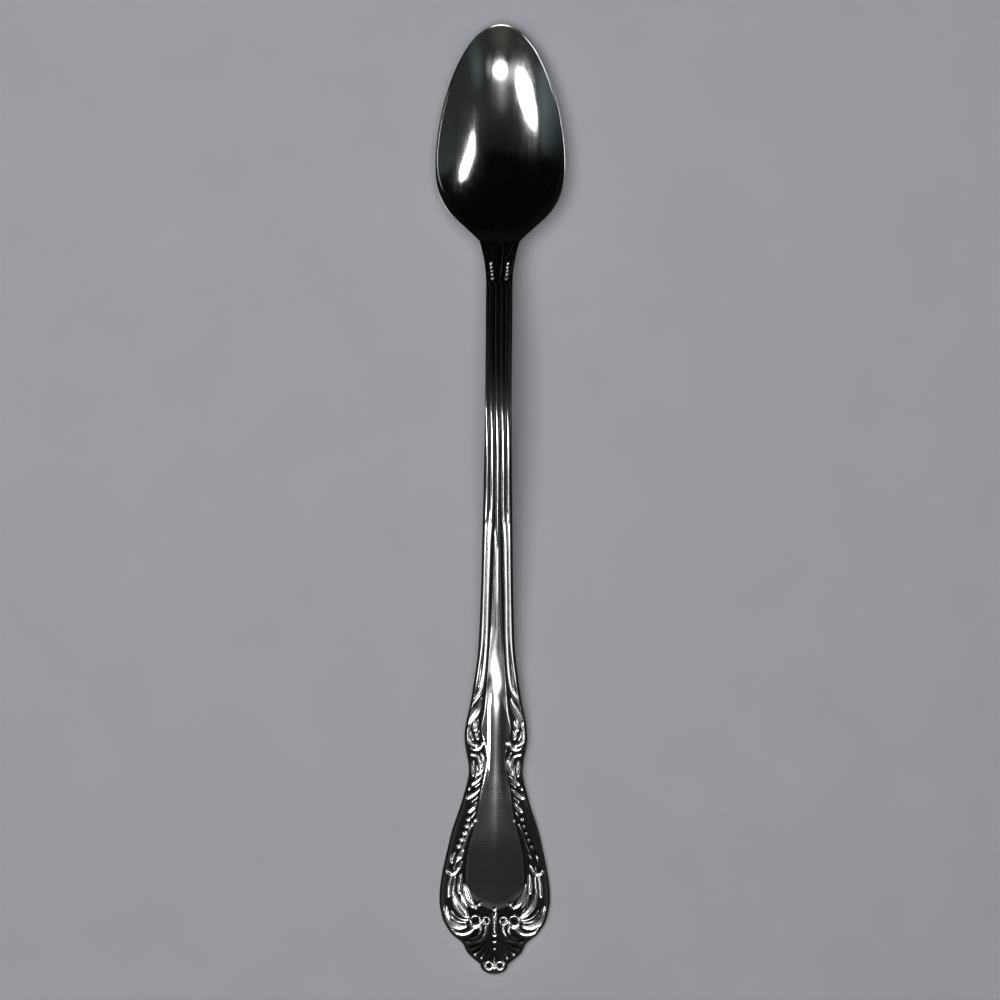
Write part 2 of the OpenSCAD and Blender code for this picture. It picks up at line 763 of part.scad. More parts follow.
module fan_ridges() {
  color(bright_steel) {
    stroke([[0.7, 0], [0.5, 0], [0.2, 0]], scroll_width, leaf_height);
    both_sides() {
      stroke([[0.92, 0.15], [0.72, 0.29], [0.55, 0.46]], leaf_width, leaf_height);
      stroke([[0.96, 0.28], [0.82, 0.44], [0.69, 0.65]], leaf_width, leaf_height);
      stroke([[0.95, 0.52], [0.89, 0.66], [0.84, 0.8]], leaf_width, leaf_height);
      stroke([[1.14, 0.66], [1.1, 0.75], [1.05, 0.85]], leaf_width, leaf_height);
    }
  }
}

module tip_volutes() {
  color(bright_steel) both_sides() seated(0.3, 0.41)
    eye(tip_volute_radius, scroll_width * 0.85, scroll_height);
}

bowl();
neck();
stem();
handle_plate();
centre_panel();
centre_reed();
inner_reeds();
outer_reeds();
neck_tongue();
neck_beads();
neck_leaves();
shoulder_leaves();
shoulder_lobes();
shoulder_scrolls();
waist_scrolls();
waist_leaves();
border_leaves();
border_beads();
border_ridges();
border_rim();
panel_corners();
corner_beads();
lower_leaves();
wing_leaves();
large_volutes();
small_volutes();
volute_tails();
centre_stalk();
stalk_beads();
fan_ridges();
tip_volutes();
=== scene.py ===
import math

import bmesh
import bpy
import numpy as np
from mathutils import Matrix, Vector


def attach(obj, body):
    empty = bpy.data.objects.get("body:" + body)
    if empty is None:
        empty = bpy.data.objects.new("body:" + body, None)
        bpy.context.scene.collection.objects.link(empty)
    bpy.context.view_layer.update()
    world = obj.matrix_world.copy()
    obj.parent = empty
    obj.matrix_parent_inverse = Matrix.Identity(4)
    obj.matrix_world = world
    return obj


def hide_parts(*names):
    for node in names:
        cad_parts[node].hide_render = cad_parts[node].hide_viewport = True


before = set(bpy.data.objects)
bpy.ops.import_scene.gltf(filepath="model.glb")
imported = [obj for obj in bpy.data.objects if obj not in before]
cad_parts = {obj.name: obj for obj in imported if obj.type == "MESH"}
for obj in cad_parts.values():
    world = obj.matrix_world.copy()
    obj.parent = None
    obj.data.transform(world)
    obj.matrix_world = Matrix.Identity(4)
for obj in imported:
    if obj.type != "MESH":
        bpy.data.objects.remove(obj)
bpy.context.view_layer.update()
print("frame loaded")

scene = bpy.context.scene
scene.view_settings.view_transform = "Standard"

mm = 0.001
spoonLong = 203.2
tipY = -spoonLong / 2  # handle tip in the shared frame
bowlEndY = spoonLong / 2  # bowl tip

# places along the spoon, in millimetres from the handle tip
scrollTop, borderTop, shoulderTop, forkTop = 20.5, 38, 62, 102
neckLow, neckHigh = 146.7, 156.7
panelLow, panelHigh = 14.7, 98


def smoothLine(points, at):
    # smooth curve through the points that never swings past them
    xs = np.array([p[0] for p in points], float)
    ys = np.array([p[1] for p in points], float)
    steps = np.diff(ys) / np.diff(xs)
    slopes = np.zeros(len(xs))
    slopes[0] = steps[0]
    slopes[-1] = steps[-1]
    for k in range(1, len(xs) - 1):
        a, b = steps[k - 1], steps[k]
        slopes[k] = 2 * a * b / (a + b) if a * b > 0 else 0.0
    at = np.asarray(at, float)
    k = np.clip(np.searchsorted(xs, at, side="right") - 1, 0, len(xs) - 2)
    run = xs[k + 1] - xs[k]
    t = np.clip((at - xs[k]) / run, 0, 1)
    h1 = 2 * t ** 3 - 3 * t ** 2 + 1
    h2 = t ** 3 - 2 * t ** 2 + t
    h3 = -2 * t ** 3 + 3 * t ** 2
    h4 = t ** 3 - t ** 2
    return h1 * ys[k] + h2 * run * slopes[k] + h3 * ys[k + 1] + h4 * run * slopes[k + 1]


def ease(t):
    t = np.clip(t, 0, 1)
    return t * t * (3 - 2 * t)


def between(d, start, rise, end, fall):
    # 1 along a stretch of the spoon, easing in after its start and out before its end, 0 elsewhere
    return ease((d - start) / rise) * ease((end - d) / fall)


# sides of the panel past the corner scrolls
panelSide = [[scrollTop, 6.1], [24.56, 5.92], [32, 4.27], [37.5, 3.11], [45.2, 1.9], [49.1, 2.5], [52.4, 3.28],
             [56.65, 2.66], [65.7, 1.94], [71.45, 1.54], [76, 1.27], [88.7, 0.88], [93, 0.8], [panelHigh, 0.6]]

# the spoon's own lines, each a value at a place along it
lines = {
    "half": [[2, 2.9], [4.55, 5.78], [6.5, 6.8], [8.64, 9.29], [12.16, 11.23], [16, 11.85], [28.97, 9.72],
             [38.08, 6.9], [43.6, 5.75], [50.9, 6.7], [59.74, 5.23], [71.45, 3.8], [92, 3.25], [129.2, 2.8],
             [neckLow, 2.8]],
    "back": [[0, 0], [26, 0], [43.6, 0.5], [60, 2.5], [100, 9.7], [117, 12.5], [125, 13.0], [150, 8.5],
             [neckHigh, 6.6]],
    "thick": [[0, 2], [16, 2], [43.6, 2.4], [92, 2.9], [neckLow, 2.9], [neckHigh, 2]],
    "panel": [[panelLow, 3.17], [15.2, 4.64], [16.1, 5.61], *panelSide],
    "panelGuide": [[0, 0.3], [2, 1.2], [6.5, 2.9], [12, 5.0], [16, 5.9], *panelSide, [forkTop, 0.57]],
    "panelTall": [[12, 0.2], [20, 0.3], [30, 0.32], [36, 0.38], [40, 0.5], [46, 0.72], [58, 0.3], [63, 0.2],
                  [67, 0.21], [73, 0.26], [81, 0.32], [90, 0.3], [panelHigh, 0.2]],
    "panelFall": [[12, 0.05], [30, 0.06], [36, 0.09], [40, 0.12], [46, 0.15], [58, 0.15]],
    "panelBend": [[12, 1.6], [56, 1.6], [63, 2.6], [74, 2.1], [panelHigh, 1.0]],
    "reedGuide": [[38, 5.1], [43.6, 4.1], [51, 5.0], [56, 4.45], [60, 4.3], [62, 3.78], [65.5, 3.2], [71.7, 2.68],
                  [80, 2.5], [88.7, 2.32], [92.5, 2.22], [97, 1.95], [forkTop, 1.77]],
}
tipLobe = {"long": 2, "narrow": 0.8, "wide": 2.9}  # small rounded tip, half widths
neckFlare = {"narrow": 2.8, "gain": 1.5, "power": 2.2}  # how the neck widens into the bowl


def halfWidth(d):
    d = np.asarray(d, float)
    least, most = tipLobe["narrow"] ** 2, tipLobe["wide"] ** 2
    far = 1 - np.clip(d, 0, tipLobe["long"]) / tipLobe["long"]
    lobe = np.sqrt(least + (most - least) * (1 - far ** 2))
    along = np.clip((d - neckLow) / (neckHigh - neckLow), 0, 1)
    flare = neckFlare["narrow"] + neckFlare["gain"] * along ** neckFlare["power"]
    return np.where(d < tipLobe["long"], lobe, np.where(d > neckLow, flare, smoothLine(lines["half"], d)))


def backZ(d):
    return smoothLine(lines["back"], d)


def topZ(d):
    return backZ(d) + smoothLine(lines["thick"], d)


def panelHalf(d):
    d = np.asarray(d, float)
    return np.where((d < panelLow) | (d > panelHigh), 0.0, smoothLine(lines["panel"], d))


def splinePath(path, parts=8):
    # rounds a row of places into a smooth path, widths and heights carried along
    p = np.array(path, float)
    if len(p) < 3:
        t = np.linspace(0, 1, parts + 1)[:, None]
        return p[0] * (1 - t) + p[1] * t if len(p) == 2 else p
    ends = np.vstack([2 * p[0] - p[1], p, 2 * p[-1] - p[-2]])
    out = []
    for k in range(1, len(ends) - 2):
        a, b, c, e = ends[k - 1], ends[k], ends[k + 1], ends[k + 2]
        for t in np.linspace(0, 1, parts, endpoint=False):
            out.append(0.5 * (2 * b + (c - a) * t + (2 * a - 5 * b + 4 * c - e) * t * t
                              + (3 * b - a - 3 * c + e) * t ** 3))
    out.append(p[-1])
    return np.array(out)


strokeSettings = {"thinnest": 0.02, "bladeLean": 0.6, "bladeSpread": 1.18, "ringSteps": 12}


def crossShape(kind, q):
    # height across a stroke, from its middle at 0 to its edge at 1
    q = np.clip(q, 0, 1)
    if kind == "bead":
        return np.sqrt(1 - q * q)
    if kind == "reed":  # straighter flanks than a round one
        return 1 - 0.5 * q - 0.5 * q * q
    if kind == "blade":  # sharp crest
        return 1 - 0.8 * q - 0.2 * q * q
    if kind == "flat":  # broad top that shows one even reflection
        return 1 - q ** 5
    return 1 - q * q


def raiseStroke(x, d, height, mark):
    # lifts one struck stroke: path of (x, d, half width, height)
    path = splinePath(mark["path"])
    thinnest = strokeSettings["thinnest"]
    reach = path[:, 2].max() + thinnest
    near = np.where((x > path[:, 0].min() - reach) & (x < path[:, 0].max() + reach)
                    & (d > path[:, 1].min() - reach) & (d < path[:, 1].max() + reach))[0]
    if len(near) == 0:
        return
    px, pd = x[near][:, None], d[near][:, None]
    if len(path) == 1:
        q = np.hypot(px[:, 0] - path[0, 0], pd[:, 0] - path[0, 1]) / path[0, 2]
        rise = path[0, 3] * crossShape(mark["kind"], q)
    else:
        ax, ad = path[:-1, 0], path[:-1, 1]
        bx, bd = np.diff(path[:, 0]), np.diff(path[:, 1])
        t = np.clip(((px - ax) * bx + (pd - ad) * bd) / (bx * bx + bd * bd + 1e-12), 0, 1)
        offX, offD = px - ax - bx * t, pd - ad - bd * t
        wide = np.maximum(path[:-1, 2] + np.diff(path[:, 2]) * t, thinnest)
        tall = path[:-1, 3] + np.diff(path[:, 3]) * t
        q = np.hypot(offX, offD) / wide
        if mark["kind"] == "blade":  # crest nearer the bowl, long flank toward the handle tip
            run = np.hypot(bx, bd) + 1e-9
            upX, upD = -bd / run * np.sign(bx + 1e-9), np.abs(bx) / run
            lean = strokeSettings["bladeLean"] * upD
            across = (offX * upX + offD * upD) / wide
            share = np.where(across > lean, (across - lean) / (1 - lean),
                             (lean - across) / (1 + lean))
            q = np.sqrt(share ** 2 + np.maximum(q * q - across * across, 0))
        rise = (tall * crossShape(mark["kind"], q)).max(axis=1)
    height[near] = np.maximum(height[near], rise)


def stroke(places, wide, tall, kind="round"):
    # one stroke through (x, d) places with a half width and height at each, or one for all
    n = len(places)
    wide = [wide] * n if np.isscalar(wide) else list(wide)
    tall = [tall] * n if np.isscalar(tall) else list(tall)
    if kind == "blade":
        wide = [strokeSettings["bladeSpread"] * w for w in wide]
    return {"path": [(p[0], p[1], w, h) for p, w, h in zip(places, wide, tall)], "kind": kind}


def ring(cx, cd, radius, wide, tall):
    # one round stroke in a full circle
    n = strokeSettings["ringSteps"]
    places = []
    for k in range(n + 1):
        a = math.radians(360 * k / n)
        places.append((cx + radius * math.cos(a), cd + radius * math.sin(a)))
    return stroke(places, wide, tall)


def reedRows():
    # the five reeds of the stem and how they part round the panel, faint near the neck
    return [
        stroke([(0, 147), (0, 126), (0, 120), (0, 114), (0, 108), (0, 99), (0, 94), (0, 89.5)],
               [0.55, 0.55, 0.56, 0.56, 0.56, 0.56, 0.5, 0.3],
               [0.08, 0.08, 0.17, 0.34, 0.42, 0.42, 0.4, 0.2], "reed"),
        stroke([(1.13, 147), (1.15, 126), (1.16, 120), (1.16, 114), (1.17, 108), (1.2, 101), (1.42, 97)],
               [0.55, 0.56, 0.56, 0.56, 0.56, 0.56, 0.56],
               [0.08, 0.08, 0.17, 0.34, 0.42, 0.43, 0.44], "reed"),
        stroke([(1.2, 101), (1.42, 97), (1.7, 92.5), (1.8, 88.7), (2.0, 80), (2.14, 71.7), (2.48, 65.9),
                (3.05, 62), (3.7, 60.2), (4.6, 58.9), (5.35, 57.4)],
               [0.5, 0.56, 0.54, 0.54, 0.52, 0.5, 0.52, 0.56, 0.6, 0.55, 0.25],
               [0.2, 0.36, 0.38, 0.38, 0.38, 0.38, 0.42, 0.5, 0.55, 0.5, 0.2], "flat"),
        stroke([(2.22, 147), (2.26, 126), (2.28, 120), (2.28, 114), (2.3, 108), (2.34, 101), (2.5, 97)],
               [0.5, 0.52, 0.54, 0.54, 0.54, 0.54, 0.54],
               [0.05, 0.05, 0.15, 0.34, 0.42, 0.43, 0.44], "reed"),
        stroke([(2.34, 101), (2.48, 97), (2.66, 92.5), (2.76, 88.7), (2.9, 80), (3.12, 71.7), (3.85, 65.5),
                (4.45, 61.8), (4.92, 59.4)],
               [0.5, 0.54, 0.5, 0.5, 0.5, 0.5, 0.5, 0.46, 0.2],
               [0.2, 0.36, 0.38, 0.38, 0.38, 0.38, 0.4, 0.42, 0.2], "flat"),
    ]


def shoulderStrokes():
    # leaves, lobes and scrolls round the shoulder and the waist
    return [
        stroke([(2.6, 76), (3.2, 66.6), (3.86, 61)], [0.1, 0.2, 0.16], [0.1, 0.26, 0.22]),
        stroke([(4.9, 57.9), (5.7, 56.2)], [0.3, 0.16], [0.4, 0.25]),
        stroke([(3.15, 59.2), (3.6, 57.6), (4.5, 56), (5.8, 54)],
               [0.2, 0.5, 0.78, 0.62], [0.3, 0.6, 0.75, 0.6], "blade"),
        stroke([(4.15, 54.3), (4.36, 53.4), (4.5, 52.5)], [0.5, 0.7, 0.5], [0.42, 0.5, 0.42], "flat"),
        stroke([(3.85, 52), (4.1, 51.4), (4.0, 50.6)], [0.4, 0.52, 0.4], [0.38, 0.45, 0.38], "flat"),
        stroke([(5.45, 53.5), (6.0, 52.5), (6.22, 51.4), (6.0, 50.3), (5.25, 49.5), (4.35, 49.1)],
               [0.26, 0.5, 0.58, 0.52, 0.46, 0.46], [0.36, 0.48, 0.5, 0.5, 0.52, 0.54], "flat"),
        stroke([(4.3, 49.1)], 0.5, 0.66, "bead"),
        stroke([(2.75, 49.6)], 0.42, 0.6, "bead"),
        stroke([(5.4, 52), (5.35, 51.2), (4.9, 50.3)], [0.26, 0.36, 0.24], [0.4, 0.5, 0.35]),
        stroke([(5.35, 48.4), (4.5, 48.1), (3.7, 48.4), (3.05, 49.1)],
               [0.2, 0.32, 0.42, 0.34], [0.35, 0.5, 0.6, 0.5], "blade"),
        stroke([(5.25, 47.05), (4.4, 46.9), (3.75, 46.4), (3.4, 45.2), (3.2, 43.8)],
               [0.32, 0.32, 0.3, 0.34, 0.24], [0.55, 0.55, 0.55, 0.55, 0.35], "blade"),
        stroke([(3.2, 47.4), (2.75, 46.3), (2.72, 45.1), (3.3, 43.4), (4.1, 42.5)],
               [0.22, 0.44, 0.62, 0.5, 0.24], [0.35, 0.56, 0.64, 0.5, 0.3], "blade"),
        stroke([(4.78, 45.6), (4.82, 44.2), (4.8, 42.6)], [0.3, 0.5, 0.3], [0.4, 0.58, 0.38], "blade"),
        stroke([(4.02, 44.8), (3.95, 43.4), (4.3, 41.9)], [0.12, 0.2, 0.14], [0.25, 0.36, 0.25]),
    ]


def borderStrokes():
    # slanting fluted leaves, beads and the ridge beside them
    rows = [
        stroke([(3.0, 42.5), (3.9, 41.5), (4.85, 40.7)], [0.24, 0.42, 0.36], [0.4, 0.6, 0.55], "blade"),
        stroke([(3.4, 40.9), (4.3, 40.1)], [0.16, 0.16], [0.36, 0.36]),
        stroke([(3.5, 39.6), (4.6, 38.6), (5.75, 37.8)], [0.24, 0.44, 0.4], [0.4, 0.6, 0.6], "blade"),
        stroke([(3.9, 37.9), (5.0, 36.9)], [0.16, 0.18], [0.36, 0.36]),
        stroke([(4.1, 36.7), (4.75, 35.7), (5.5, 34.9)], [0.26, 0.5, 0.44], [0.4, 0.62, 0.58], "blade"),
        stroke([(4.35, 34.7), (5.0, 33.7)], [0.24, 0.2], [0.4, 0.36]),
        stroke([(5.6, 39.8)], 0.36, 0.46, "bead"),
        stroke([(5.0, 32.1), (5.75, 30.6), (6.5, 28.2), (7.3, 26.3), (8.1, 24.9)],
               [0.32, 0.3, 0.3, 0.3, 0.22], [0.55, 0.5, 0.5, 0.5, 0.4]),
        stroke([(5.0, 32.1)], 0.4, 0.6, "bead"),
        stroke([(4.4, 33)], 0.3, 0.5, "bead"),
        stroke([(6.75, 26.4), (7.4, 25.2), (8.15, 24.1)], [0.22, 0.4, 0.24], [0.35, 0.6, 0.4], "blade"),
        stroke([(7.1, 24), (7.7, 22.9), (8.2, 22)], [0.26, 0.4, 0.24], [0.4, 0.58, 0.4], "blade"),
        stroke([(8.65, 26), (9.0, 25), (9.2, 23.9)], [0.24, 0.4, 0.28], [0.4, 0.6, 0.45]),
        stroke([(8.35, 24), (8.75, 22.6)], [0.18, 0.22], [0.36, 0.4]),
        stroke([(8.3, 22), (9.2, 21.4), (10, 22)], [0.45, 0.5, 0.4], [0.55, 0.65, 0.5], "blade"),
        stroke([(9.35, 20.8), (9.68, 19), (9.85, 16.8)], [0.3, 0.46, 0.34], [0.45, 0.65, 0.5], "blade"),
        stroke([(8.55, 20.8), (8.75, 19), (8.95, 17.6)], [0.2, 0.28, 0.24], [0.35, 0.46, 0.4]),
        stroke([(7.3, 21.3), (7.5, 19.3), (7.6, 17.5)], [0.26, 0.5, 0.36], [0.4, 0.65, 0.5], "blade"),
    ]
    for x, d in [(5.75, 33.25), (6.12, 31.8), (6.6, 30.3), (7.15, 28.9), (7.78, 27.45)]:
        rows.append(stroke([(x, d)], 0.58, 0.52, "bead"))
    return rows


def scrollStrokes():
    # corner scrolls of the panel, wings, volutes, stalk, fan and tip curls
    return [
        stroke([(6.6, 19.2), (6.25, 17.8), (5.75, 16.2), (4.85, 14.8), (4.0, 14.3)],
               [0.24, 0.56, 0.72, 0.56, 0.32], [0.4, 0.58, 0.66, 0.6, 0.5], "blade"),
        stroke([(4.05, 14.2)], 0.32, 0.55, "bead"),
        stroke([(3.35, 15)], 0.42, 0.66, "bead"),
        stroke([(7.2, 17.2), (6.75, 15.6), (5.9, 14.3)], [0.2, 0.36, 0.24], [0.2, 0.3, 0.2]),
        stroke([(8.95, 17.5), (8.5, 16.2), (7.95, 14.9), (7.25, 13.8), (6.55, 12.9), (5.8, 12.2)],
               [0.3, 0.6, 0.86, 0.88, 0.76, 0.4], [0.4, 0.6, 0.74, 0.76, 0.72, 0.5], "blade"),
        stroke([(9.3, 13.6), (8.4, 12.5), (7.2, 11.8), (5.8, 11.6)],
               [0.16, 0.26, 0.26, 0.18], [0.4, 0.6, 0.6, 0.45]),
        stroke([(9.75, 13.1), (8.7, 11.8), (7.5, 11.2), (6.2, 11.1)],
               [0.16, 0.26, 0.26, 0.18], [0.4, 0.6, 0.6, 0.45]),
        stroke([(10.5, 14.4), (10.25, 12.7), (9.55, 11.3), (8.5, 10.45), (7.4, 10.1), (6.2, 10.2)],
               [0.3, 0.62, 0.84, 0.82, 0.7, 0.4], [0.4, 0.6, 0.7, 0.72, 0.66, 0.5], "blade"),
        stroke([(9.15, 9.6), (8.4, 8.9), (7.0, 8.5), (5.7, 8.85), (4.6, 9.7)], [0.28, 0.44, 0.5, 0.5, 0.42],
               [0.4, 0.52, 0.58, 0.6, 0.55], "blade"),
        ring(4.15, 11.5, 1.06, 0.36, 0.66),
        stroke([(5.05, 10.6), (4.2, 10.2), (3.2, 10.7)], [0.4, 0.62, 0.44], [0.6, 0.78, 0.62], "blade"),
        ring(1.95, 11.5, 0.8, 0.3, 0.7),
        stroke([(2.5, 12.1), (2.05, 11), (1.75, 10.3)], [0.26, 0.42, 0.4], [0.56, 0.7, 0.6]),
        stroke([(1.85, 10.3), (2.0, 8.8), (2.9, 7.5), (4.3, 6.95)],
               [0.34, 0.46, 0.46, 0.22], [0.6, 0.6, 0.5, 0.3], "blade"),
        stroke([(3.0, 10), (3.1, 8.8), (4.0, 7.9), (5.3, 7.5)],
               [0.3, 0.45, 0.45, 0.2], [0.45, 0.5, 0.45, 0.25], "blade"),
        stroke([(0, 13.9)], 0.44, 0.6, "bead"),
        stroke([(0, 13), (0, 12.2), (0, 11.3), (0, 9.2)], [0.54, 0.66, 0.36, 0.34], [0.6, 0.7, 0.55, 0.5]),
        stroke([(-0.16, 8.4), (0.16, 8.4)], 0.46, 0.56, "bead"),
        stroke([(-0.14, 7), (0.14, 7)], 0.44, 0.52, "bead"),
        stroke([(0, 5.5)], 0.44, 0.55, "bead"),
        stroke([(0, 4.1), (0, 2.6), (0, 1.2)], [0.18, 0.28, 0.28], [0.4, 0.55, 0.5]),
        ring(1.2, 1.95, 0.8, 0.34, 0.5),
        stroke([(0.75, 6.4), (1.1, 4.6), (1.7, 3.4)], [0.2, 0.34, 0.26], [0.2, 0.35, 0.3]),
        stroke([(1.2, 6.9), (1.9, 5.2), (2.7, 3.5)], [0.2, 0.42, 0.4], [0.2, 0.4, 0.5]),
        stroke([(1.9, 6.5), (3.0, 5.3), (4.2, 4.2)], [0.2, 0.46, 0.46], [0.2, 0.4, 0.52]),
        stroke([(2.9, 6.4), (4.0, 5.8), (5.0, 5.4)], [0.2, 0.36, 0.34], [0.2, 0.36, 0.42]),
        stroke([(4.6, 7.1), (5.4, 6.9), (6.0, 6.9)], [0.2, 0.34, 0.34], [0.2, 0.36, 0.42]),
        stroke([(2.75, 3.55)], 0.42, 0.55, "bead"),
        stroke([(4.15, 4.25)], 0.48, 0.58, "bead"),
        stroke([(5.95, 6.95)], 0.36, 0.5, "bead"),
    ]


def veinCuts():
    # engraved veins in the wings and the leaves
    return [
        stroke([(8.7, 16.3), (7.6, 13.9), (6.4, 12.5)], [0.1, 0.14, 0.1], [0.1, 0.22, 0.15]),
        stroke([(10.1, 13.3), (9.2, 11.4), (7.4, 10.3)], [0.1, 0.13, 0.1], [0.1, 0.2, 0.12]),
        stroke([(6.3, 18.4), (5.7, 16.2), (4.6, 14.9)], [0.08, 0.12, 0.08], [0.08, 0.16, 0.1]),
        stroke([(3.5, 58), (4.4, 56.2), (5.5, 54.5)], [0.08, 0.12, 0.1], [0.1, 0.18, 0.15]),
    ]


def neckStrokes():
    # ends of the reeds, tongue, beads and small leaves at the neck
    rows = [
        stroke([(0, 146), (0, 147.4), (0, 148.6)], [0.55, 0.5, 0.2], [0.09, 0.08, 0.02]),
        stroke([(1.13, 146), (1.13, 147), (1.13, 148)], [0.55, 0.5, 0.2], [0.08, 0.07, 0.02]),
        stroke([(2.22, 146), (2.24, 147.2), (2.3, 148.6)], [0.5, 0.46, 0.2], [0.05, 0.04, 0.02]),
        stroke([(0, 149), (0, 151), (0, 153.5), (0, 156.4)],
               [0.25, 0.45, 0.7, 0.9], [0.06, 0.14, 0.16, 0.05]),
        stroke([(1.15, 153), (1.9, 154.3), (2.6, 156)], [0.2, 0.36, 0.26], [0.06, 0.12, 0.05]),
        stroke([(2.3, 149.5), (2.5, 152), (3.0, 154.6)], [0.16, 0.26, 0.18], [0.05, 0.1, 0.05]),
    ]
    beadCount, beadX, beadD, stepX, stepD = 5, 1.5, 148.8, 0.085, 0.8
    for k in range(beadCount):
        rows.append(stroke([(beadX + stepX * k, beadD + stepD * k)], 0.33, 0.36, "bead"))
    return rows


panelSettings = {
    "cornerHalf": 6.1,  # half width under the corner scrolls
    "under": 0.35, "underEnd": 47,  # how far the panel runs under the border, and up to where
    "lineAt": 1.5, "lineSlope": 0.17, "lineSoft": 0.35,  # shoulder line on each side
    "lineSpread": 0.05, "spreadEnd": 44, "lineDraw": 0.45, "drawFrom": 56,  # it spreads low down, draws in high up
    "lineFrom": 33, "lineRun": 17, "lineLeftEnd": 65, "lineRightEnd": 60,
    "fallSoft": 0.6, "fallEnd": 58,  # roundness of the middle low down
    "crownFrom": 57, "crownRun": 8,  # where the lined stretch turns into the crowned one
    "crestLeft": 0.5, "crestStretch": (56, 4, 75, 9),  # the crest lies a little left past the waist
    "footAt": 12.2, "footBow": 2.1, "footHalf": 4.4, "footStep": 0.6, "footShadeRun": 3.5,  # bowed lower end, and how far its painted shade runs up
    "groove": 0.1, "grooveWide": 0.16, "grooveStretch": (58, 6, 96, 6),  # fine groove beside the narrow part
    "lowest": -0.2, "endRun": 4,
    "sill": 0.1, "lowSill": 0.15, "sillRun": 0.2,  # painted shade may creep this far in over the panel's edge
}


def panelRise(x, d):
    # mirror panel: a straight shoulder line on each side low down, a broad low crest higher up
    s = panelSettings
    side = np.abs(x)
    half = np.where(d < scrollTop, s["cornerHalf"], panelHalf(np.maximum(d, panelLow)))
    inset = half + s["under"] * ease((s["underEnd"] - d) / 5) - side
    line = s["lineAt"] + s["lineSpread"] * np.maximum(s["spreadEnd"] - d, 0)
    line = line - s["lineDraw"] * ease((d - s["drawFrom"]) / 6)
    ends = np.where(x < 0, ease((s["lineLeftEnd"] - d) / 6), ease((s["lineRightEnd"] - d) / 4))
    strong = s["lineSlope"] * ease((d - s["lineFrom"]) / s["lineRun"]) * ends
    soft = s["lineSoft"]
    shoulderLine = strong * soft * (np.tanh((side - line) / soft) + np.tanh(line / soft))
    tall = smoothLine(lines["panelTall"], d)
    fall = smoothLine(lines["panelFall"], np.minimum(d, s["fallEnd"]))
    low = fall * s["fallSoft"] * np.log(np.cosh(side / s["fallSoft"]))
    bend = smoothLine(lines["panelBend"], d)
    shifted = x + s["crestLeft"] * between(d, *s["crestStretch"])
    full = np.maximum(np.sqrt(half * half + bend * bend) - bend, 0.01)
    high = tall * (np.sqrt(shifted * shifted + bend * bend) - bend) / full
    blend = ease((d - s["crownFrom"]) / s["crownRun"])
    body = (tall - low * (1 - blend) - high * blend - shoulderLine) * ease((panelHigh - d) / s["endRun"])
    footAt = s["footAt"] + s["footBow"] * (side / s["footHalf"]) ** 2
    body = np.maximum(body, s["lowest"]) * ease((d - footAt) / s["footStep"])
    beside = (half - side + s["grooveWide"]) / s["grooveWide"]
    groove = s["groove"] * np.exp(-beside ** 2) * between(d, *s["grooveStretch"])
    foot = 1 - ease((d - footAt - s["footStep"]) / s["footShadeRun"])  # painted shade darkens the lower end
    within = (inset > 0) & (d > footAt) & (d < panelHigh)
    return body, groove, inset, foot, within


rimSettings = {"outer": (0.17, 0.62), "inner": (0.14, 1.08), "wide": 0.2,  # height and inset of each fine line
               "stretch": (9.5, 3, 42, 5)}


def rimRise(x, d, half):
    # fine double line inside the outer edge, fading out at the waist and round the wings
    inset = half - np.abs(x)
    pair = []
    for tall, at in (rimSettings["outer"], rimSettings["inner"]):
        pair.append(tall * np.clip(1 - ((inset - at) / rimSettings["wide"]) ** 2, 0, 1))
    return np.maximum(*pair) * between(d, *rimSettings["stretch"])


def soften(grid):
    # one light smoothing pass, so crests and valleys are rounded as in struck metal
    padded = np.pad(grid, 1, mode="edge")
    rows = (padded[:-2] + 2 * padded[1:-1] + padded[2:]) / 4
    return (rows[:, :-2] + 2 * rows[:, 1:-1] + rows[:, 2:]) / 4


reliefSettings = {"softPasses": 5, "panelLead": 0.004, "bareGround": 0.01,
                  "polishedGround": 0.03, "polishedBeside": 0.4, "polishedFrom": 14}


def reliefOf(x, d, half):
    # height of the struck top, and where the panel is bare, where metal is polished, where the panel's foot takes
    # painted shade
    flatX, flatD = np.abs(x).ravel(), d.ravel()
    height = np.zeros(flatX.shape)
    for mark in reedRows() + shoulderStrokes() + borderStrokes() + scrollStrokes() + neckStrokes():
        raiseStroke(flatX, flatD, height, mark)
    carved = np.zeros(flatX.shape)
    for mark in veinCuts():
        raiseStroke(flatX, flatD, carved, mark)
    body, groove, inside, foot, within = panelRise(x, d)
    struck = np.maximum((height - carved).reshape(x.shape), rimRise(x, d, half))
    shown = within & ((body > struck - reliefSettings["panelLead"]) | (struck < reliefSettings["bareGround"]))
    height = np.where(shown, body, struck) - groove * ~shown
    sill = panelSettings["sill"] + panelSettings["lowSill"] * ease((panelSettings["underEnd"] - d) / 4)
    panelMask = shown * ease((inside - sill) / panelSettings["sillRun"]) * (1 - foot)
    beside = (inside > -reliefSettings["polishedBeside"]) & (d > reliefSettings["polishedFrom"]) & (d < panelHigh)
    beside &= struck < reliefSettings["polishedGround"]
    polish = np.maximum(shown, beside).astype(float)
    for k in range(reliefSettings["softPasses"]):
        height = soften(height)
    return height, panelMask, polish, shown * foot


def columnPlaces(d, half, edge, settings):
    # columns across the top that follow the panel's edge and the groove between the reeds
    margin = settings["margin"] * ease(d / 3)
    guides = [np.zeros(len(d))]
    for key in settings["guides"]:
        guides.append(np.minimum(smoothLine(lines[key], d), (half - edge - margin) * settings["guideMost"]))
    if settings["margin"]:
        guides.append(half - edge - margin)
    guides.append(half - edge)
    right = []
    for k, count in enumerate(settings["topCols"]):
        for t in np.linspace(0, 1, count + 1)[(0 if k == 0 else 1):]:
            right.append(guides[k] * (1 - t) + guides[k + 1] * t)
    right = np.array(right).T
    return np.hstack([-right[:, :0:-1], right])


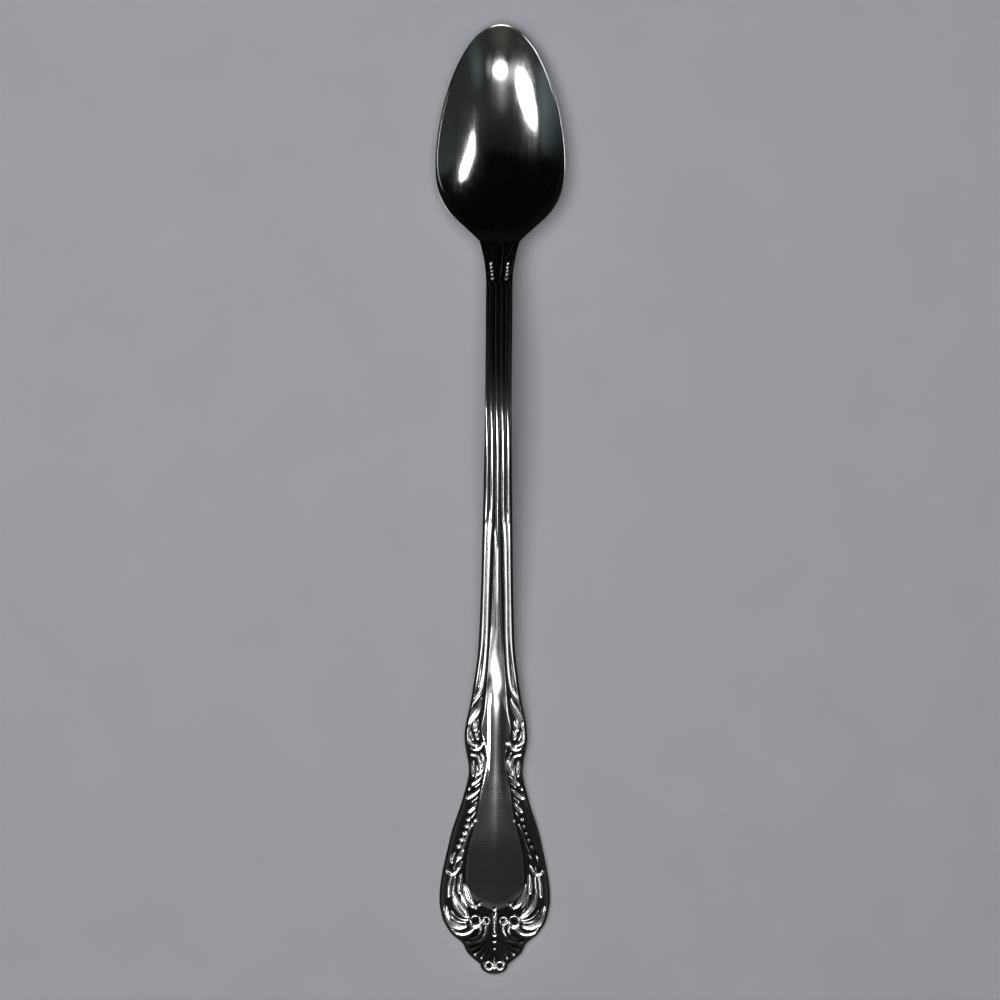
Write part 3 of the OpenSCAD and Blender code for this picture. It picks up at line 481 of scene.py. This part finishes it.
def blur(grid, reachRows, reachCols):
    out = grid.copy()
    for axis, reach in ((0, reachRows), (1, reachCols)):
        total = np.zeros_like(out)
        for k in range(-reach, reach + 1):
            total += np.roll(out, k, axis=axis)
        out = total / (2 * reach + 1)
    return out


# painted shade: how dark the relief's colour is made in each place
paintedShadeSettings = {
    "ground": 0.05, "groundRun": 0.15, "reedGain": 0.05,  # height that counts as low ground
    "deep": 0.16,  # a hollow this deep is fully dark
    "reedFrom": 58, "reedRun": 8,  # the grooves between reeds are dark from here up
    "neckFaint": 0.82, "neckFrom": 114.5, "neckRun": 7.5,  # the reeds near the neck are low
    # how much higher the painted shade reaches in some places, with their start, rise, end and fall
    "fan": 0.32, "fanStretch": (2.9, 0.6, 10, 4),
    "rightBorder": 0.34, "rightStretch": (22, 2, 36, 4), "rightFrom": 3, "rightRun": 1.5,
    "tails": 0.2, "tailStretch": (6, 2, 10.2, 1.2), "tailBand": (0.7, 0.4, 5, 1),
}


def paintedShadeOf(x, d, height, panelMask, foot, settings):
    # painted shade in hollows and on low ground, none on the bare panel; the panel's foot is shaded as well
    s = paintedShadeSettings
    side = np.abs(x)
    faint = 1 - s["neckFaint"] * ease((d - s["neckFrom"]) / s["neckRun"])
    # painted shade reaches higher on the fan, the curl tails and the right border
    fan = s["fan"] * between(d, *s["fanStretch"])
    toRight = ease((x - s["rightFrom"]) / s["rightRun"])
    rightBorder = s["rightBorder"] * toRight * between(d, *s["rightStretch"])
    tails = s["tails"] * between(side, *s["tailBand"]) * between(d, *s["tailStretch"])
    gain = s["reedGain"] * ease((d - s["reedFrom"]) / s["reedRun"])
    ground = height / faint - s["ground"] - gain - (fan + rightBorder + tails)
    ground = 1 - ease(ground / (s["groundRun"] + gain))
    hollow = blur(height, settings["blurRows"], settings["blurCols"]) - height
    dark = np.maximum(hollow / (s["deep"] * faint), ground * settings["groundDark"])
    return np.maximum(dark * (1 - panelMask), foot)


meshSettings = {"tubeSeam": 1e-8, "bowlSeam": 1e-7, "sameEdge": 1e-6}  # metres


def rolledGrid(points, marks, seamGap):
    # bends a flat grid to the given places and joins its seam
    rows, cols = points.shape[0] - 1, points.shape[1] - 1
    bm = bmesh.new()
    bmesh.ops.create_grid(bm, x_segments=cols, y_segments=rows, size=1)
    layers = {key: bm.verts.layers.float.new(key) for key in marks}
    for v in bm.verts:
        i = int(round((v.co.y + 1) / 2 * rows))
        j = int(round((v.co.x + 1) / 2 * cols))
        for key, layer in layers.items():
            v[layer] = float(marks[key][i, j])
        v.co = Vector(points[i, j]) * mm
    bmesh.ops.remove_doubles(bm, verts=[v for v in bm.verts if v.is_boundary], dist=seamGap)
    for f in bm.faces:
        f.smooth = True
    return bm


def addPiece(name, bm):
    bmesh.ops.recalc_face_normals(bm, faces=bm.faces)
    mesh = bpy.data.meshes.new(name)
    bm.to_mesh(mesh)
    bm.free()
    piece = bpy.data.objects.new(name, mesh)
    scene.collection.objects.link(piece)
    print(name, len(mesh.polygons), "faces")
    return piece


def wrapTube(name, points, marks):
    # closed tube with flat caps and sharp ends
    bm = rolledGrid(points, marks, meshSettings["tubeSeam"])
    endEdges = [e for e in bm.edges if e.is_boundary]
    bmesh.ops.holes_fill(bm, edges=endEdges, sides=0)
    for e in endEdges:
        e.smooth = False
    return addPiece(name, bm)


def edgeArcs(half, edge, under, top, back, steps):
    # rounded right edge from the top down to the back, as columns of x and z
    arcs = []
    for a in np.radians(np.linspace(90, 0, steps + 1))[1:]:
        arcs.append((half - edge + edge * np.cos(a), top - edge + edge * np.sin(a)))
    for a in np.radians(np.linspace(0, -90, steps + 1)):
        arcs.append((half - under + under * np.cos(a), back + under + under * np.sin(a)))
    return arcs


# shared by all stretches of the handle
blankSettings = {"arcs": 4, "edgeRound": 0.42, "underRound": 0.7, "tipRound": 0.45, "tipRun": 0.7,
                 "mostRound": 0.45, "sharper": 0.9, "sharpFrom": 108, "sharpRun": 10, "spareRows": 8,
                 "edgeFade": 0.3, "forkEdgeFade": 0.14, "forkStretch": (40, 4, 104, 3),
                 "forkPolish": 0.7, "forkFrom": 55, "forkRun": 9, "stemPolish": 0.24, "stemFrom": 94, "stemRun": 8,
                 "tipFade": 0.25, "neckFade": 0.8, "guideMost": 0.92}


def sectionTube(name, dRows, settings):
    # one stretch of the blank: struck top, rounded edges, plain back
    d = np.asarray(dRows, float)
    spare = settings["spareRows"]  # rows worked out past each end, so the stretches meet without a seam
    before = d[0] - (d[1] - d[0]) * np.arange(spare, 0, -1)
    after = d[-1] + (d[-1] - d[-2]) * np.arange(1, spare + 1)
    d = np.concatenate([before, d, after])
    half = halfWidth(np.clip(d, 0, neckHigh))
    past = ease((d - settings["sharpFrom"]) / settings["sharpRun"])
    sharp = 1 - settings["sharper"] * past  # edges are sharper past the crest of the arch
    edge = np.minimum(settings["edgeRound"] * sharp, half * settings["mostRound"])
    x = columnPlaces(d, half, edge, settings)
    dGrid = np.repeat(d[:, None], x.shape[1], axis=1)
    height, panelMask, polish, foot = reliefOf(x, dGrid, half[:, None])
    inset = (half - edge)[:, None] - np.abs(x)
    fork = between(d, *settings["forkStretch"])[:, None]  # the relief comes nearer the edge here
    fade = settings["edgeFade"] + (settings["forkEdgeFade"] - settings["edgeFade"]) * fork
    ends = ease(d / settings["tipFade"]) * ease((neckHigh - d) / settings["neckFade"] + 0.02)
    height *= ease(inset / fade) * ends[:, None]
    # painted shade on the top, from hollows, low ground and the panel's foot
    paintedShade = paintedShadeOf(x, d[:, None], height, panelMask, foot, settings)

    inside = slice(spare, -spare)
    d, half, edge, x, sharp = d[inside], half[inside], edge[inside], x[inside], sharp[inside]
    height, paintedShade, polish = height[inside], paintedShade[inside], polish[inside]
    under = np.minimum(settings["underRound"] * sharp, half * settings["mostRound"])
    ahead = np.clip(1 - d / settings["tipRun"], 0, 1)
    drop = settings["tipRound"] * (1 - np.sqrt(1 - ahead ** 2))  # the tip is rounded over
    top, back = topZ(d) - drop, backZ(d) + drop
    z = top[:, None] + height

    # columns once round: top, right edge, back, left edge
    zero = np.zeros(len(d))
    arcs = edgeArcs(half, edge, under, top, back, settings["arcs"])
    darkerTone = [1.0 + zero if k < settings["arcs"] else zero for k in range(len(arcs))]  # painted shade darkens the upper edge
    cols = [(x[:, j], z[:, j], paintedShade[:, j], polish[:, j]) for j in range(x.shape[1])]
    cols += [(ax, az, dark, zero) for (ax, az), dark in zip(arcs, darkerTone)]
    for t in np.linspace(1, -1, settings["backCols"] + 1)[1:-1]:
        cols.append(((half - under) * t, back, zero, zero))
    cols += [(-ax, az, dark, zero) for (ax, az), dark in zip(reversed(arcs), reversed(darkerTone))]
    cols.append(cols[0])
    bright = settings["forkPolish"] * ease((d - settings["forkFrom"]) / settings["forkRun"])
    bright = bright + settings["stemPolish"] * ease((d - settings["stemFrom"]) / settings["stemRun"])
    points = np.zeros((len(d), len(cols), 3))
    # painted shade and polish, carried on the mesh for the material
    marks = {"shadeMark": np.zeros((len(d), len(cols))), "polish": np.zeros((len(d), len(cols)))}
    for j, (cx, cz, dark, shine) in enumerate(cols):
        points[:, j] = np.stack([cx, tipY + d, cz], axis=1)
        marks["shadeMark"][:, j] = dark
        marks["polish"][:, j] = np.maximum(shine, bright)
    return wrapTube(name, points, marks)


# scroll end of the handle
scrollSettings = {**blankSettings, "rows": 240, "tipRows": 9, "topCols": [58, 58, 12], "guides": ["panelGuide"],
                  "margin": 1.0, "groundDark": 1.0, "backCols": 14, "blurRows": 6, "blurCols": 7}
tipRows = np.linspace(0, scrollSettings["tipRun"], scrollSettings["tipRows"])[:-1]
scrollRows = np.linspace(scrollSettings["tipRun"], scrollTop, scrollSettings["rows"])
scrollEnd = sectionTube("scroll_end", np.concatenate([tipRows, scrollRows]), scrollSettings)

# beaded and leafed border beside the wide panel
borderSettings = {**blankSettings, "rows": 200, "topCols": [26, 50, 12], "guides": ["panelGuide"],
                  "margin": 1.0, "groundDark": 1.0, "backCols": 14, "blurRows": 6, "blurCols": 6}
borderRows = np.linspace(scrollTop, borderTop, borderSettings["rows"])
leafBorder = sectionTube("leaf_border", borderRows, borderSettings)

# shoulder and waist
shoulderSettings = {**blankSettings, "rows": 270, "topCols": [26, 34, 26, 8], "guides": ["panelGuide", "reedGuide"],
                    "margin": 0.22, "groundDark": 1.0, "backCols": 12, "blurRows": 6, "blurCols": 6}
shoulderRows = np.linspace(borderTop, shoulderTop, shoulderSettings["rows"])
shoulder = sectionTube("shoulder", shoulderRows, shoulderSettings)

# reeds parting round the narrow panel
forkSettings = {**blankSettings, "rows": 150, "topCols": [26, 26, 20, 8], "guides": ["panelGuide", "reedGuide"],
                "margin": 0.22, "groundDark": 1.0, "backCols": 12, "blurRows": 5, "blurCols": 6}
reedFork = sectionTube("reed_fork", np.linspace(shoulderTop, forkTop, forkSettings["rows"]), forkSettings)

# reeded stem
stemSettings = {**blankSettings, "rows": 150, "topCols": [48], "guides": [],
                "margin": 0, "groundDark": 0.9, "backCols": 12, "blurRows": 2, "blurCols": 5}
stem = sectionTube("reeded_stem", np.linspace(forkTop, neckLow, stemSettings["rows"]), stemSettings)

# beaded neck
neckSettings = {**blankSettings, "rows": 111, "topCols": [48], "guides": [],
                "margin": 0, "groundDark": 0.9, "backCols": 12, "blurRows": 4, "blurCols": 5}
neck = sectionTube("beaded_neck", np.linspace(neckLow, neckHigh, neckSettings["rows"]), neckSettings)

# bowl, in millimetres from its own tip
bowlSettings = {
    "around": 96, "front": 56, "heel": 86, "inside": 44, "outside": 26,  # steps of the mesh
    "half": 13.85, "hollowHalf": 13.55, "widest": 30, "hollowFront": 29.7, "hollowBack": 14.7,
    "long": 46.5, "neckHalf": 4.3, "point": 1.74,  # egg shape, 2 would be an ellipse
    "heelCurve": [(13.85, 30), (13.85, 40.3), (9, 41.4), (4.3, 46.5)],
    "rim": [[0, 5.6], [30, 7.6], [46.5, 8.6]],
    "deepest": 26.0, "floor": 1.2, "dish": 2.2, "backPower": 4,
    "wall": 0.9, "heelWall": 1.1, "heelFrom": 36, "heelRun": 10.5, "lipRun": 8,  # thicker, with no lip, at the neck
    "tipEnd": 5, "keptEnd": 14, "keptRun": 9,  # how far from the bowl tip its own ways reach
    "lipWide": 0.3, "tipLift": 0.088, "easing": 40, "crease": 0.996, "creaseTip": 0.006, "ringPower": 0.9,
    "lip": [(0.14, -0.01), (0.3, -0.01), (0.62, -0.01), (0.8, 0.0), (0.94, 0.03), (0.985, 0.09), (1.0, 0.16)],
}


def bowlOutlines():
    # hollow line and outer edge, from the bowl tip round the right side to the neck
    b = bowlSettings
    n, front, heel, widest = b["around"], b["front"], b["heel"], b["widest"]
    hollow, edge = [], []
    for k in range(n + 1):
        if k <= front:
            a = k / front * math.pi / 2
            run = max(math.cos(a), 0) ** (2 / b["point"])
            hollow.append((b["hollowHalf"] * math.sin(a), widest - b["hollowFront"] * run))
            edge.append((b["half"] * math.sin(a), widest - widest * run))
            continue
        a = (k - front) / (n - front) * math.pi / 2
        hollow.append((b["hollowHalf"] * math.cos(a), widest + b["hollowBack"] * math.sin(a)))
        if k <= heel:
            t = (k - front) / (heel - front)
            pull = [(1 - t) ** 3, 3 * t * (1 - t) ** 2, 3 * t * t * (1 - t), t ** 3]
            edge.append(tuple(sum(w * p[axis] for w, p in zip(pull, b["heelCurve"])) for axis in (0, 1)))
        else:
            edge.append((b["neckHalf"] * (n - k) / (n - heel), b["long"]))
    return np.array(hollow), np.array(edge)


def bothSides(line):
    return np.vstack([line, [(-p[0], p[1]) for p in line[-2::-1]]])


def easedHollow(hollow):
    # eases the hollow's line so the reflections run smoothly, but keeps its place at the tip
    loop = hollow[:-1]
    for k in range(bowlSettings["easing"]):
        loop = (np.roll(loop, 1, axis=0) + 2 * loop + np.roll(loop, -1, axis=0)) / 4
    kept = ease((bowlSettings["keptEnd"] - hollow[:-1, 1]) / bowlSettings["keptRun"])[:, None]
    loop = loop + (hollow[:-1] - loop) * kept
    return np.vstack([loop, loop[:1]])


def rimZ(s):
    return smoothLine(bowlSettings["rim"], s)


def buildBowl():
    # rings from the middle of the hollow out over the lip and back under to the middle
    b = bowlSettings
    hollow, edge = bowlOutlines()
    hollow, edge = easedHollow(bothSides(hollow)), bothSides(edge)
    middle = np.array([0, b["deepest"]])
    hollowRim, top = rimZ(hollow[:, 1]), rimZ(edge[:, 1])
    thick = b["wall"] + b["heelWall"] * ease((edge[:, 1] - b["heelFrom"]) / b["heelRun"])
    atTip = ease((b["tipEnd"] - hollow[:, 1]) / b["tipEnd"])
    rings = []
    even = np.ones(len(hollow))
    inner = [r * even for r in np.linspace(0, 1, b["inside"] + 1)[:-1] ** b["ringPower"]]
    for r in inner + [b["crease"] - b["creaseTip"] * atTip, even]:  # the last two crease the hollow's rim
        p = middle + r[:, None] * (hollow - middle)
        rings.append((p, b["floor"] + (hollowRim - b["floor"]) * r ** b["dish"]))
    away = 1 - ease((edge[:, 1] - b["heelFrom"]) / b["lipRun"])  # the lip dies out where the neck joins
    land = np.maximum(np.hypot(*(edge - hollow).T), 0.01)
    narrow = np.minimum(1, b["lipWide"] / land)  # lip's share of the land beside the hollow
    for share, fall in b["lip"]:
        part = (share * narrow if share < 0.6 else 1 - (1 - share) * narrow)[:, None]
        p = hollow + (edge - hollow) * part
        calm = 1 - atTip * (1 if share < 0.95 else 0.4)  # at the tip the lip slopes up and catches the window
        rings.append((p, rimZ(p[:, 1]) - fall * away * calm + b["tipLift"] * min(share, 0.94) * atTip))
    edgeTop = rings[-1][1]
    for share in (0.5, 1.0):
        rings.append((edge, edgeTop + (top - thick - edgeTop) * share))
    for k in range(1, b["outside"] + 1):
        r = 1 - k / b["outside"]
        line = hollow + (edge - hollow) * r ** b["backPower"]
        z = b["floor"] + (hollowRim - b["floor"]) * r ** b["dish"]
        z = z - (b["floor"] + (thick + hollowRim - top - b["floor"]) * r ** b["backPower"])
        rings.append((middle + r * (line - middle), z))
    points = np.zeros((len(rings), len(hollow), 3))
    for i, (p, z) in enumerate(rings):
        points[i] = np.stack([p[:, 0], bowlEndY - p[:, 1], z], axis=1)
    bm = rolledGrid(points, {}, meshSettings["bowlSeam"])
    joinY = (bowlEndY - b["long"]) * mm
    for e in bm.edges:
        if all(abs(v.co.y - joinY) < meshSettings["sameEdge"] for v in e.verts):
            e.smooth = False
    return addPiece("bowl_dish", bm)


bowl = buildBowl()


# shared surface effects
def newGroup(name, outputs):
    group = bpy.data.node_groups.new(name, "ShaderNodeTree")
    for key, kind in outputs:
        group.interface.new_socket(name=key, in_out="OUTPUT", socket_type=kind)
    return group


def addNode(tree, kind, **values):
    node = tree.nodes.new(kind)
    for key, value in values.items():
        setattr(node, key, value)
    return node


def mathNode(tree, op, a, b):
    node = addNode(tree, "ShaderNodeMath", operation=op)
    for socket, value in zip(node.inputs, (a, b)):
        if isinstance(value, (int, float)):
            socket.default_value = value
        else:
            tree.links.new(value, socket)
    return node.outputs[0]


def mixNode(tree, a, b, factor, blend="MIX"):
    # mixes two colours, each of the three a plain value or another node's output
    node = addNode(tree, "ShaderNodeMix", data_type="RGBA", blend_type=blend)
    for key, value in (("A", a), ("B", b), ("Factor", factor)):
        if isinstance(value, (float, tuple)):
            node.inputs[key].default_value = value
        else:
            tree.links.new(value, node.inputs[key])
    return node.outputs["Result"]


def noiseNode(tree, place, scale, detail):
    node = addNode(tree, "ShaderNodeTexNoise")
    node.inputs["Scale"].default_value = scale
    node.inputs["Detail"].default_value = detail
    tree.links.new(place, node.inputs["Vector"])
    return node.outputs["Fac"]


def vectorNode(tree, op, value, by=None):
    node = addNode(tree, "ShaderNodeVectorMath", operation=op)
    tree.links.new(value, node.inputs[0])
    if by is not None:
        node.inputs[1].default_value = by
    return node.outputs["Value" if op == "LENGTH" else "Vector"]


def rangeNode(tree, value, low, high, outLow, outHigh, blend="LINEAR"):
    node = addNode(tree, "ShaderNodeMapRange", clamp=True, interpolation_type=blend)
    tree.links.new(value, node.inputs["Value"])
    for key, v in (("From Min", low), ("From Max", high), ("To Min", outLow), ("To Max", outHigh)):
        node.inputs[key].default_value = v
    return node.outputs["Result"]


scratchSettings = {"fine": ((2600, 70, 2600), 2.0, 0.6), "broad": ((900, 140, 900), 3.0, 0.4),  # scale, detail, share
                   "cloudScale": 90, "cloudDetail": 4, "cloudFrom": 0.35, "cloudTo": 0.7}


def scratchGroup():
    # fine marks along the spoon and faint rubbing across it
    group = newGroup("fineScratches", [("Scratch", "NodeSocketFloat"), ("Haze", "NodeSocketFloat")])
    end = addNode(group, "NodeGroupOutput")
    place = addNode(group, "ShaderNodeTexCoord")
    shares = []
    for scale, detail, share in (scratchSettings["fine"], scratchSettings["broad"]):
        stretch = addNode(group, "ShaderNodeMapping")
        stretch.inputs["Scale"].default_value = scale
        group.links.new(place.outputs["Object"], stretch.inputs["Vector"])
        noise = noiseNode(group, stretch.outputs["Vector"], 1.0, detail)
        shares.append(mathNode(group, "MULTIPLY", noise, share))
    group.links.new(mathNode(group, "ADD", *shares), end.inputs["Scratch"])
    cloud = noiseNode(group, place.outputs["Object"], scratchSettings["cloudScale"], scratchSettings["cloudDetail"])
    haze = rangeNode(group, cloud, scratchSettings["cloudFrom"], scratchSettings["cloudTo"], 0, 1)
    group.links.new(haze, end.inputs["Haze"])
    return group


def shadeAndPolishGroup():
    # painted shade in the low places of the struck pattern and in other marked places, and where the metal is
    # polished
    group = newGroup("shadeAndPolish", [("Dark", "NodeSocketFloat"), ("Polish", "NodeSocketFloat")])
    end = addNode(group, "NodeGroupOutput")
    shadeMark = addNode(group, "ShaderNodeAttribute", attribute_name="shadeMark")
    polish = addNode(group, "ShaderNodeAttribute", attribute_name="polish")
    group.links.new(rangeNode(group, shadeMark.outputs["Fac"], 0.15, 0.85, 0, 1), end.inputs["Dark"])
    group.links.new(polish.outputs["Fac"], end.inputs["Polish"])
    return group


scratches = scratchGroup()
shadeAndPolishNodes = shadeAndPolishGroup()


def steel(name, settings):
    # polished steel: hazy colour, painted shade in low places, fine scratches
    mat = bpy.data.materials.new(name)
    mat.use_nodes = True
    tree = mat.node_tree
    shader = tree.nodes["Principled BSDF"]
    marks = addNode(tree, "ShaderNodeGroup", node_tree=scratches)
    low = addNode(tree, "ShaderNodeGroup", node_tree=shadeAndPolishNodes)
    tone = mixNode(tree, settings["bright"], settings["darkerTone"], marks.outputs["Haze"])
    # painted shade: the marked places take the near-black colour
    paintedShade = mixNode(tree, tone, settings["paintedShade"], low.outputs["Dark"])
    tree.links.new(paintedShade, shader.inputs["Base Color"])
    rub = rangeNode(tree, marks.outputs["Scratch"], 0.3, 0.7, settings["smooth"], settings["rubbed"])
    hazed = mathNode(tree, "ADD", rub, mathNode(tree, "MULTIPLY", marks.outputs["Haze"], settings["haze"]))
    roughWithShade = mathNode(tree, "ADD", hazed, mathNode(tree, "MULTIPLY", low.outputs["Dark"], settings["paintedShadeRough"]))
    unpolished = mathNode(tree, "SUBTRACT", 1.0, low.outputs["Polish"])
    worn = mathNode(tree, "MULTIPLY", unpolished, settings["worn"])
    tree.links.new(mathNode(tree, "ADD", roughWithShade, worn), shader.inputs["Roughness"])
    shader.inputs["Metallic"].default_value = 1.0
    bump = addNode(tree, "ShaderNodeBump")
    bump.inputs["Strength"].default_value = settings["bump"]
    bump.inputs["Distance"].default_value = settings["bumpDeep"]
    tree.links.new(marks.outputs["Scratch"], bump.inputs["Height"])
    tree.links.new(bump.outputs["Normal"], shader.inputs["Normal"])
    return mat


# steel colours; the near-black one is painted shade
mirrorSettings = {"bright": (0.66, 0.66, 0.65, 1), "darkerTone": (0.56, 0.57, 0.56, 1), "paintedShade": (0.02, 0.02, 0.02, 1),
                  "smooth": 0.05, "rubbed": 0.11, "haze": 0.05, "worn": 0.0, "paintedShadeRough": 0.3, "bump": 0.35,
                  "bumpDeep": 0.00002}
struckSettings = {"bright": (0.66, 0.65, 0.64, 1), "darkerTone": (0.55, 0.55, 0.54, 1), "paintedShade": (0.015, 0.015, 0.014, 1),
                  "smooth": 0.06, "rubbed": 0.1, "haze": 0.03, "worn": 0.16, "paintedShadeRough": 0.3, "bump": 0.06,
                  "bumpDeep": 0.00002}
mirrorSteel = steel("mirrorSteel", mirrorSettings)
reliefSteel = steel("reliefSteel", struckSettings)
bodySteel = steel("bodySteel", struckSettings)
print("materials made")

# the nodes of the part that each piece stands for
stoodFor = {
    "bowl_dish": ["bowl"],
    "beaded_neck": ["neck", "neck_tongue", "neck_beads", "neck_leaves"],
    "reeded_stem": ["stem", "centre_reed", "inner_reeds", "outer_reeds"],
    "reed_fork": ["stem", "handle_plate", "centre_panel", "centre_reed", "inner_reeds", "outer_reeds"],
    "shoulder": ["handle_plate", "centre_panel", "shoulder_leaves", "shoulder_lobes", "shoulder_scrolls",
                 "waist_scrolls", "waist_leaves"],
    "leaf_border": ["handle_plate", "centre_panel", "border_leaves", "border_beads", "border_ridges", "border_rim"],
    "scroll_end": ["handle_plate", "panel_corners", "corner_beads", "lower_leaves", "wing_leaves", "large_volutes",
                   "small_volutes", "volute_tails", "centre_stalk", "stalk_beads", "fan_ridges", "tip_volutes"],
}
finishOf = {
    "bowl_dish": (mirrorSteel, "mirror_steel"),
    "beaded_neck": (bodySteel, "body_steel"),
    "reeded_stem": (bodySteel, "body_steel"),
    "reed_fork": (reliefSteel, "relief_steel"),
    "shoulder": (reliefSteel, "relief_steel"),
    "leaf_border": (reliefSteel, "relief_steel"),
    "scroll_end": (reliefSteel, "relief_steel"),
}
for piece in (bowl, neck, stem, reedFork, shoulder, leafBorder, scrollEnd):
    material, slotName = finishOf[piece.name]
    piece.data.materials.append(material)
    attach(piece, "root")
    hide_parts(*stoodFor[piece.name])

# plain floor
floorSettings = {"radius": 6.0, "segments": 96, "light": (0.33, 0.333, 0.36, 1), "low": (0.30, 0.303, 0.33, 1),
                 "grain": 60, "detail": 6, "rough": 0.9, "gloss": 0.1}


def makeFloor(settings):
    bm = bmesh.new()
    bmesh.ops.create_circle(bm, cap_ends=True, segments=settings["segments"], radius=settings["radius"])
    mesh = bpy.data.meshes.new("floor")
    bm.to_mesh(mesh)
    bm.free()
    floor = bpy.data.objects.new("floor", mesh)
    scene.collection.objects.link(floor)
    mat = bpy.data.materials.new("paleFloor")
    mat.use_nodes = True
    tree = mat.node_tree
    shader = tree.nodes["Principled BSDF"]
    place = addNode(tree, "ShaderNodeTexCoord")
    grain = noiseNode(tree, place.outputs["Object"], settings["grain"], settings["detail"])
    tree.links.new(mixNode(tree, settings["low"], settings["light"], grain), shader.inputs["Base Color"])
    shader.inputs["Roughness"].default_value = settings["rough"]
    shader.inputs["Specular IOR Level"].default_value = settings["gloss"]
    mesh.materials.append(mat)
    return floor


floor = makeFloor(floorSettings)
print("floor laid")

lampTarget = Vector((0, 0.0776, 0.005))  # just over the bowl


def direction(tiltX, tiltY):
    # way out from the spoon, tilt in degrees from straight up toward +x and +y
    tilt = math.radians(math.hypot(tiltX, tiltY))
    turn = math.atan2(tiltY, tiltX)
    return Vector((math.sin(tilt) * math.cos(turn), math.sin(tilt) * math.sin(turn), math.cos(tilt)))


def softbox(name, startTilt, endTilt, wideDegrees, glow, away=4.0, seenInMetal=True):
    # strip lamp stretched from one direction to another, facing the bowl
    a, b = direction(*startTilt), direction(*endTilt)
    mid = (a + b).normalized()
    span = a.angle(b)
    along = b - a
    along = (along - mid * along.dot(mid)).normalized()
    lamp = bpy.data.lights.new(name, "AREA")
    lamp.shape = "ELLIPSE"
    lamp.size = 2 * away * math.tan(span / 2)
    lamp.size_y = 2 * away * math.tan(math.radians(wideDegrees) / 2)
    lamp.energy = glow * math.pi * lamp.size * lamp.size_y
    obj = bpy.data.objects.new(name, lamp)
    side = mid.cross(along)
    turn = Matrix((along, side, mid)).transposed().to_4x4()
    obj.matrix_world = Matrix.Translation(lampTarget + mid * away) @ turn
    obj.visible_glossy = seenInMetal
    obj.visible_diffuse = not seenInMetal
    scene.collection.objects.link(obj)


# lamps seen in the metal, and one over the spoon that lights only the floor
softbox("leftStrip", (-57.5, -6.6), (-26.5, -18), 11, 10.5)
softbox("rightStrip", (41, -1.3), (56, 33), 12.5, 10.0)
softbox("smallWindow", (-13, -20.9), (15.5, -20.9), 7, 2.2)
softbox("frontGlow", (-28, -66), (62, -55), 30, 8.0)
softbox("overheadFill", (-28, 0), (14, 0), 42, 6.2, away=0.8, seenInMetal=False)

# dim room, darker past the bowl, with a few faint patches: tilt of the middle, reach across and along, colour
roomSettings = {"dark": (0.001, 0.0015, 0.0015, 1), "dim": (0.03, 0.034, 0.033, 1), "fallFrom": -0.1, "fallTo": 0.22}
roomPatches = [
    ((-71, -12), (0.1, 0.3), (0.09, 0.125, 0.14)),
    ((82, 12), (0.09, 0.3), (0.04, 0.05, 0.05)),
    ((42, -22), (0.22, 0.16), (0.05, 0.075, 0.078)),
    ((-2, -15), (0.46, 0.18), (0.16, 0.16, 0.15)),
    ((-2, -16), (0.2, 0.2), (0.2, 0.2, 0.19)),
    ((-20, -20.5), (0.27, 0.08), (0.9, 0.9, 0.89)),
    ((20, -22), (0.16, 0.075), (0.4, 0.41, 0.41)),
    ((0, -35), (0.5, 0.13), (0.06, 0.046, 0.035)),
]


def roomPatch(tree, place, tilt, reach, colour):
    # soft round patch of light in one direction
    middle = direction(*tilt)
    offset = vectorNode(tree, "SUBTRACT", place, (middle.x, middle.y, 0))
    scaled = vectorNode(tree, "MULTIPLY", offset, (1 / reach[0], 1 / reach[1], 0))
    spread = rangeNode(tree, vectorNode(tree, "LENGTH", scaled), 0, 1, 1, 0, "SMOOTHSTEP")
    return mixNode(tree, (0, 0, 0, 1), (*colour, 1), spread)


def makeRoom(settings, patches):
    room = bpy.data.worlds.new("dimRoom")
    room.use_nodes = True
    tree = room.node_tree
    place = addNode(tree, "ShaderNodeTexCoord").outputs["Generated"]
    total = roomPatch(tree, place, *patches[0])
    for patch in patches[1:]:
        total = mixNode(tree, total, roomPatch(tree, place, *patch), 1.0, "ADD")
    split = addNode(tree, "ShaderNodeSeparateXYZ")
    tree.links.new(place, split.inputs[0])
    fall = rangeNode(tree, split.outputs["Y"], settings["fallFrom"], settings["fallTo"], 1, 0)
    shade = mixNode(tree, settings["dark"], settings["dim"], mathNode(tree, "MULTIPLY", fall, fall))
    back = tree.nodes["Background"]
    back.inputs["Strength"].default_value = 1.0
    tree.links.new(mixNode(tree, shade, total, 1.0, "ADD"), back.inputs["Color"])
    return room


scene.world = makeRoom(roomSettings, roomPatches)
print("room lit")

# camera straight above, turned a little as in the photo
cameraSettings = {"frameWide": 213.6 * mm, "high": 1.5, "focusZ": 6 * mm, "aside": (0.49 * mm, -0.05 * mm),
                  "turn": 0.43, "sensor": 36}
camData = bpy.data.cameras.new("camera")
camData.sensor_width = cameraSettings["sensor"]
camData.lens = cameraSettings["sensor"] / 2 / (cameraSettings["frameWide"] / 2 / cameraSettings["high"])
camData.clip_start = 0.05
camData.clip_end = 50
cam = bpy.data.objects.new("camera", camData)
cam.location = (*cameraSettings["aside"], cameraSettings["high"] + cameraSettings["focusZ"])
cam.rotation_euler = (0, 0, math.radians(cameraSettings["turn"]))
scene.collection.objects.link(cam)
scene.camera = cam
print("stage set")
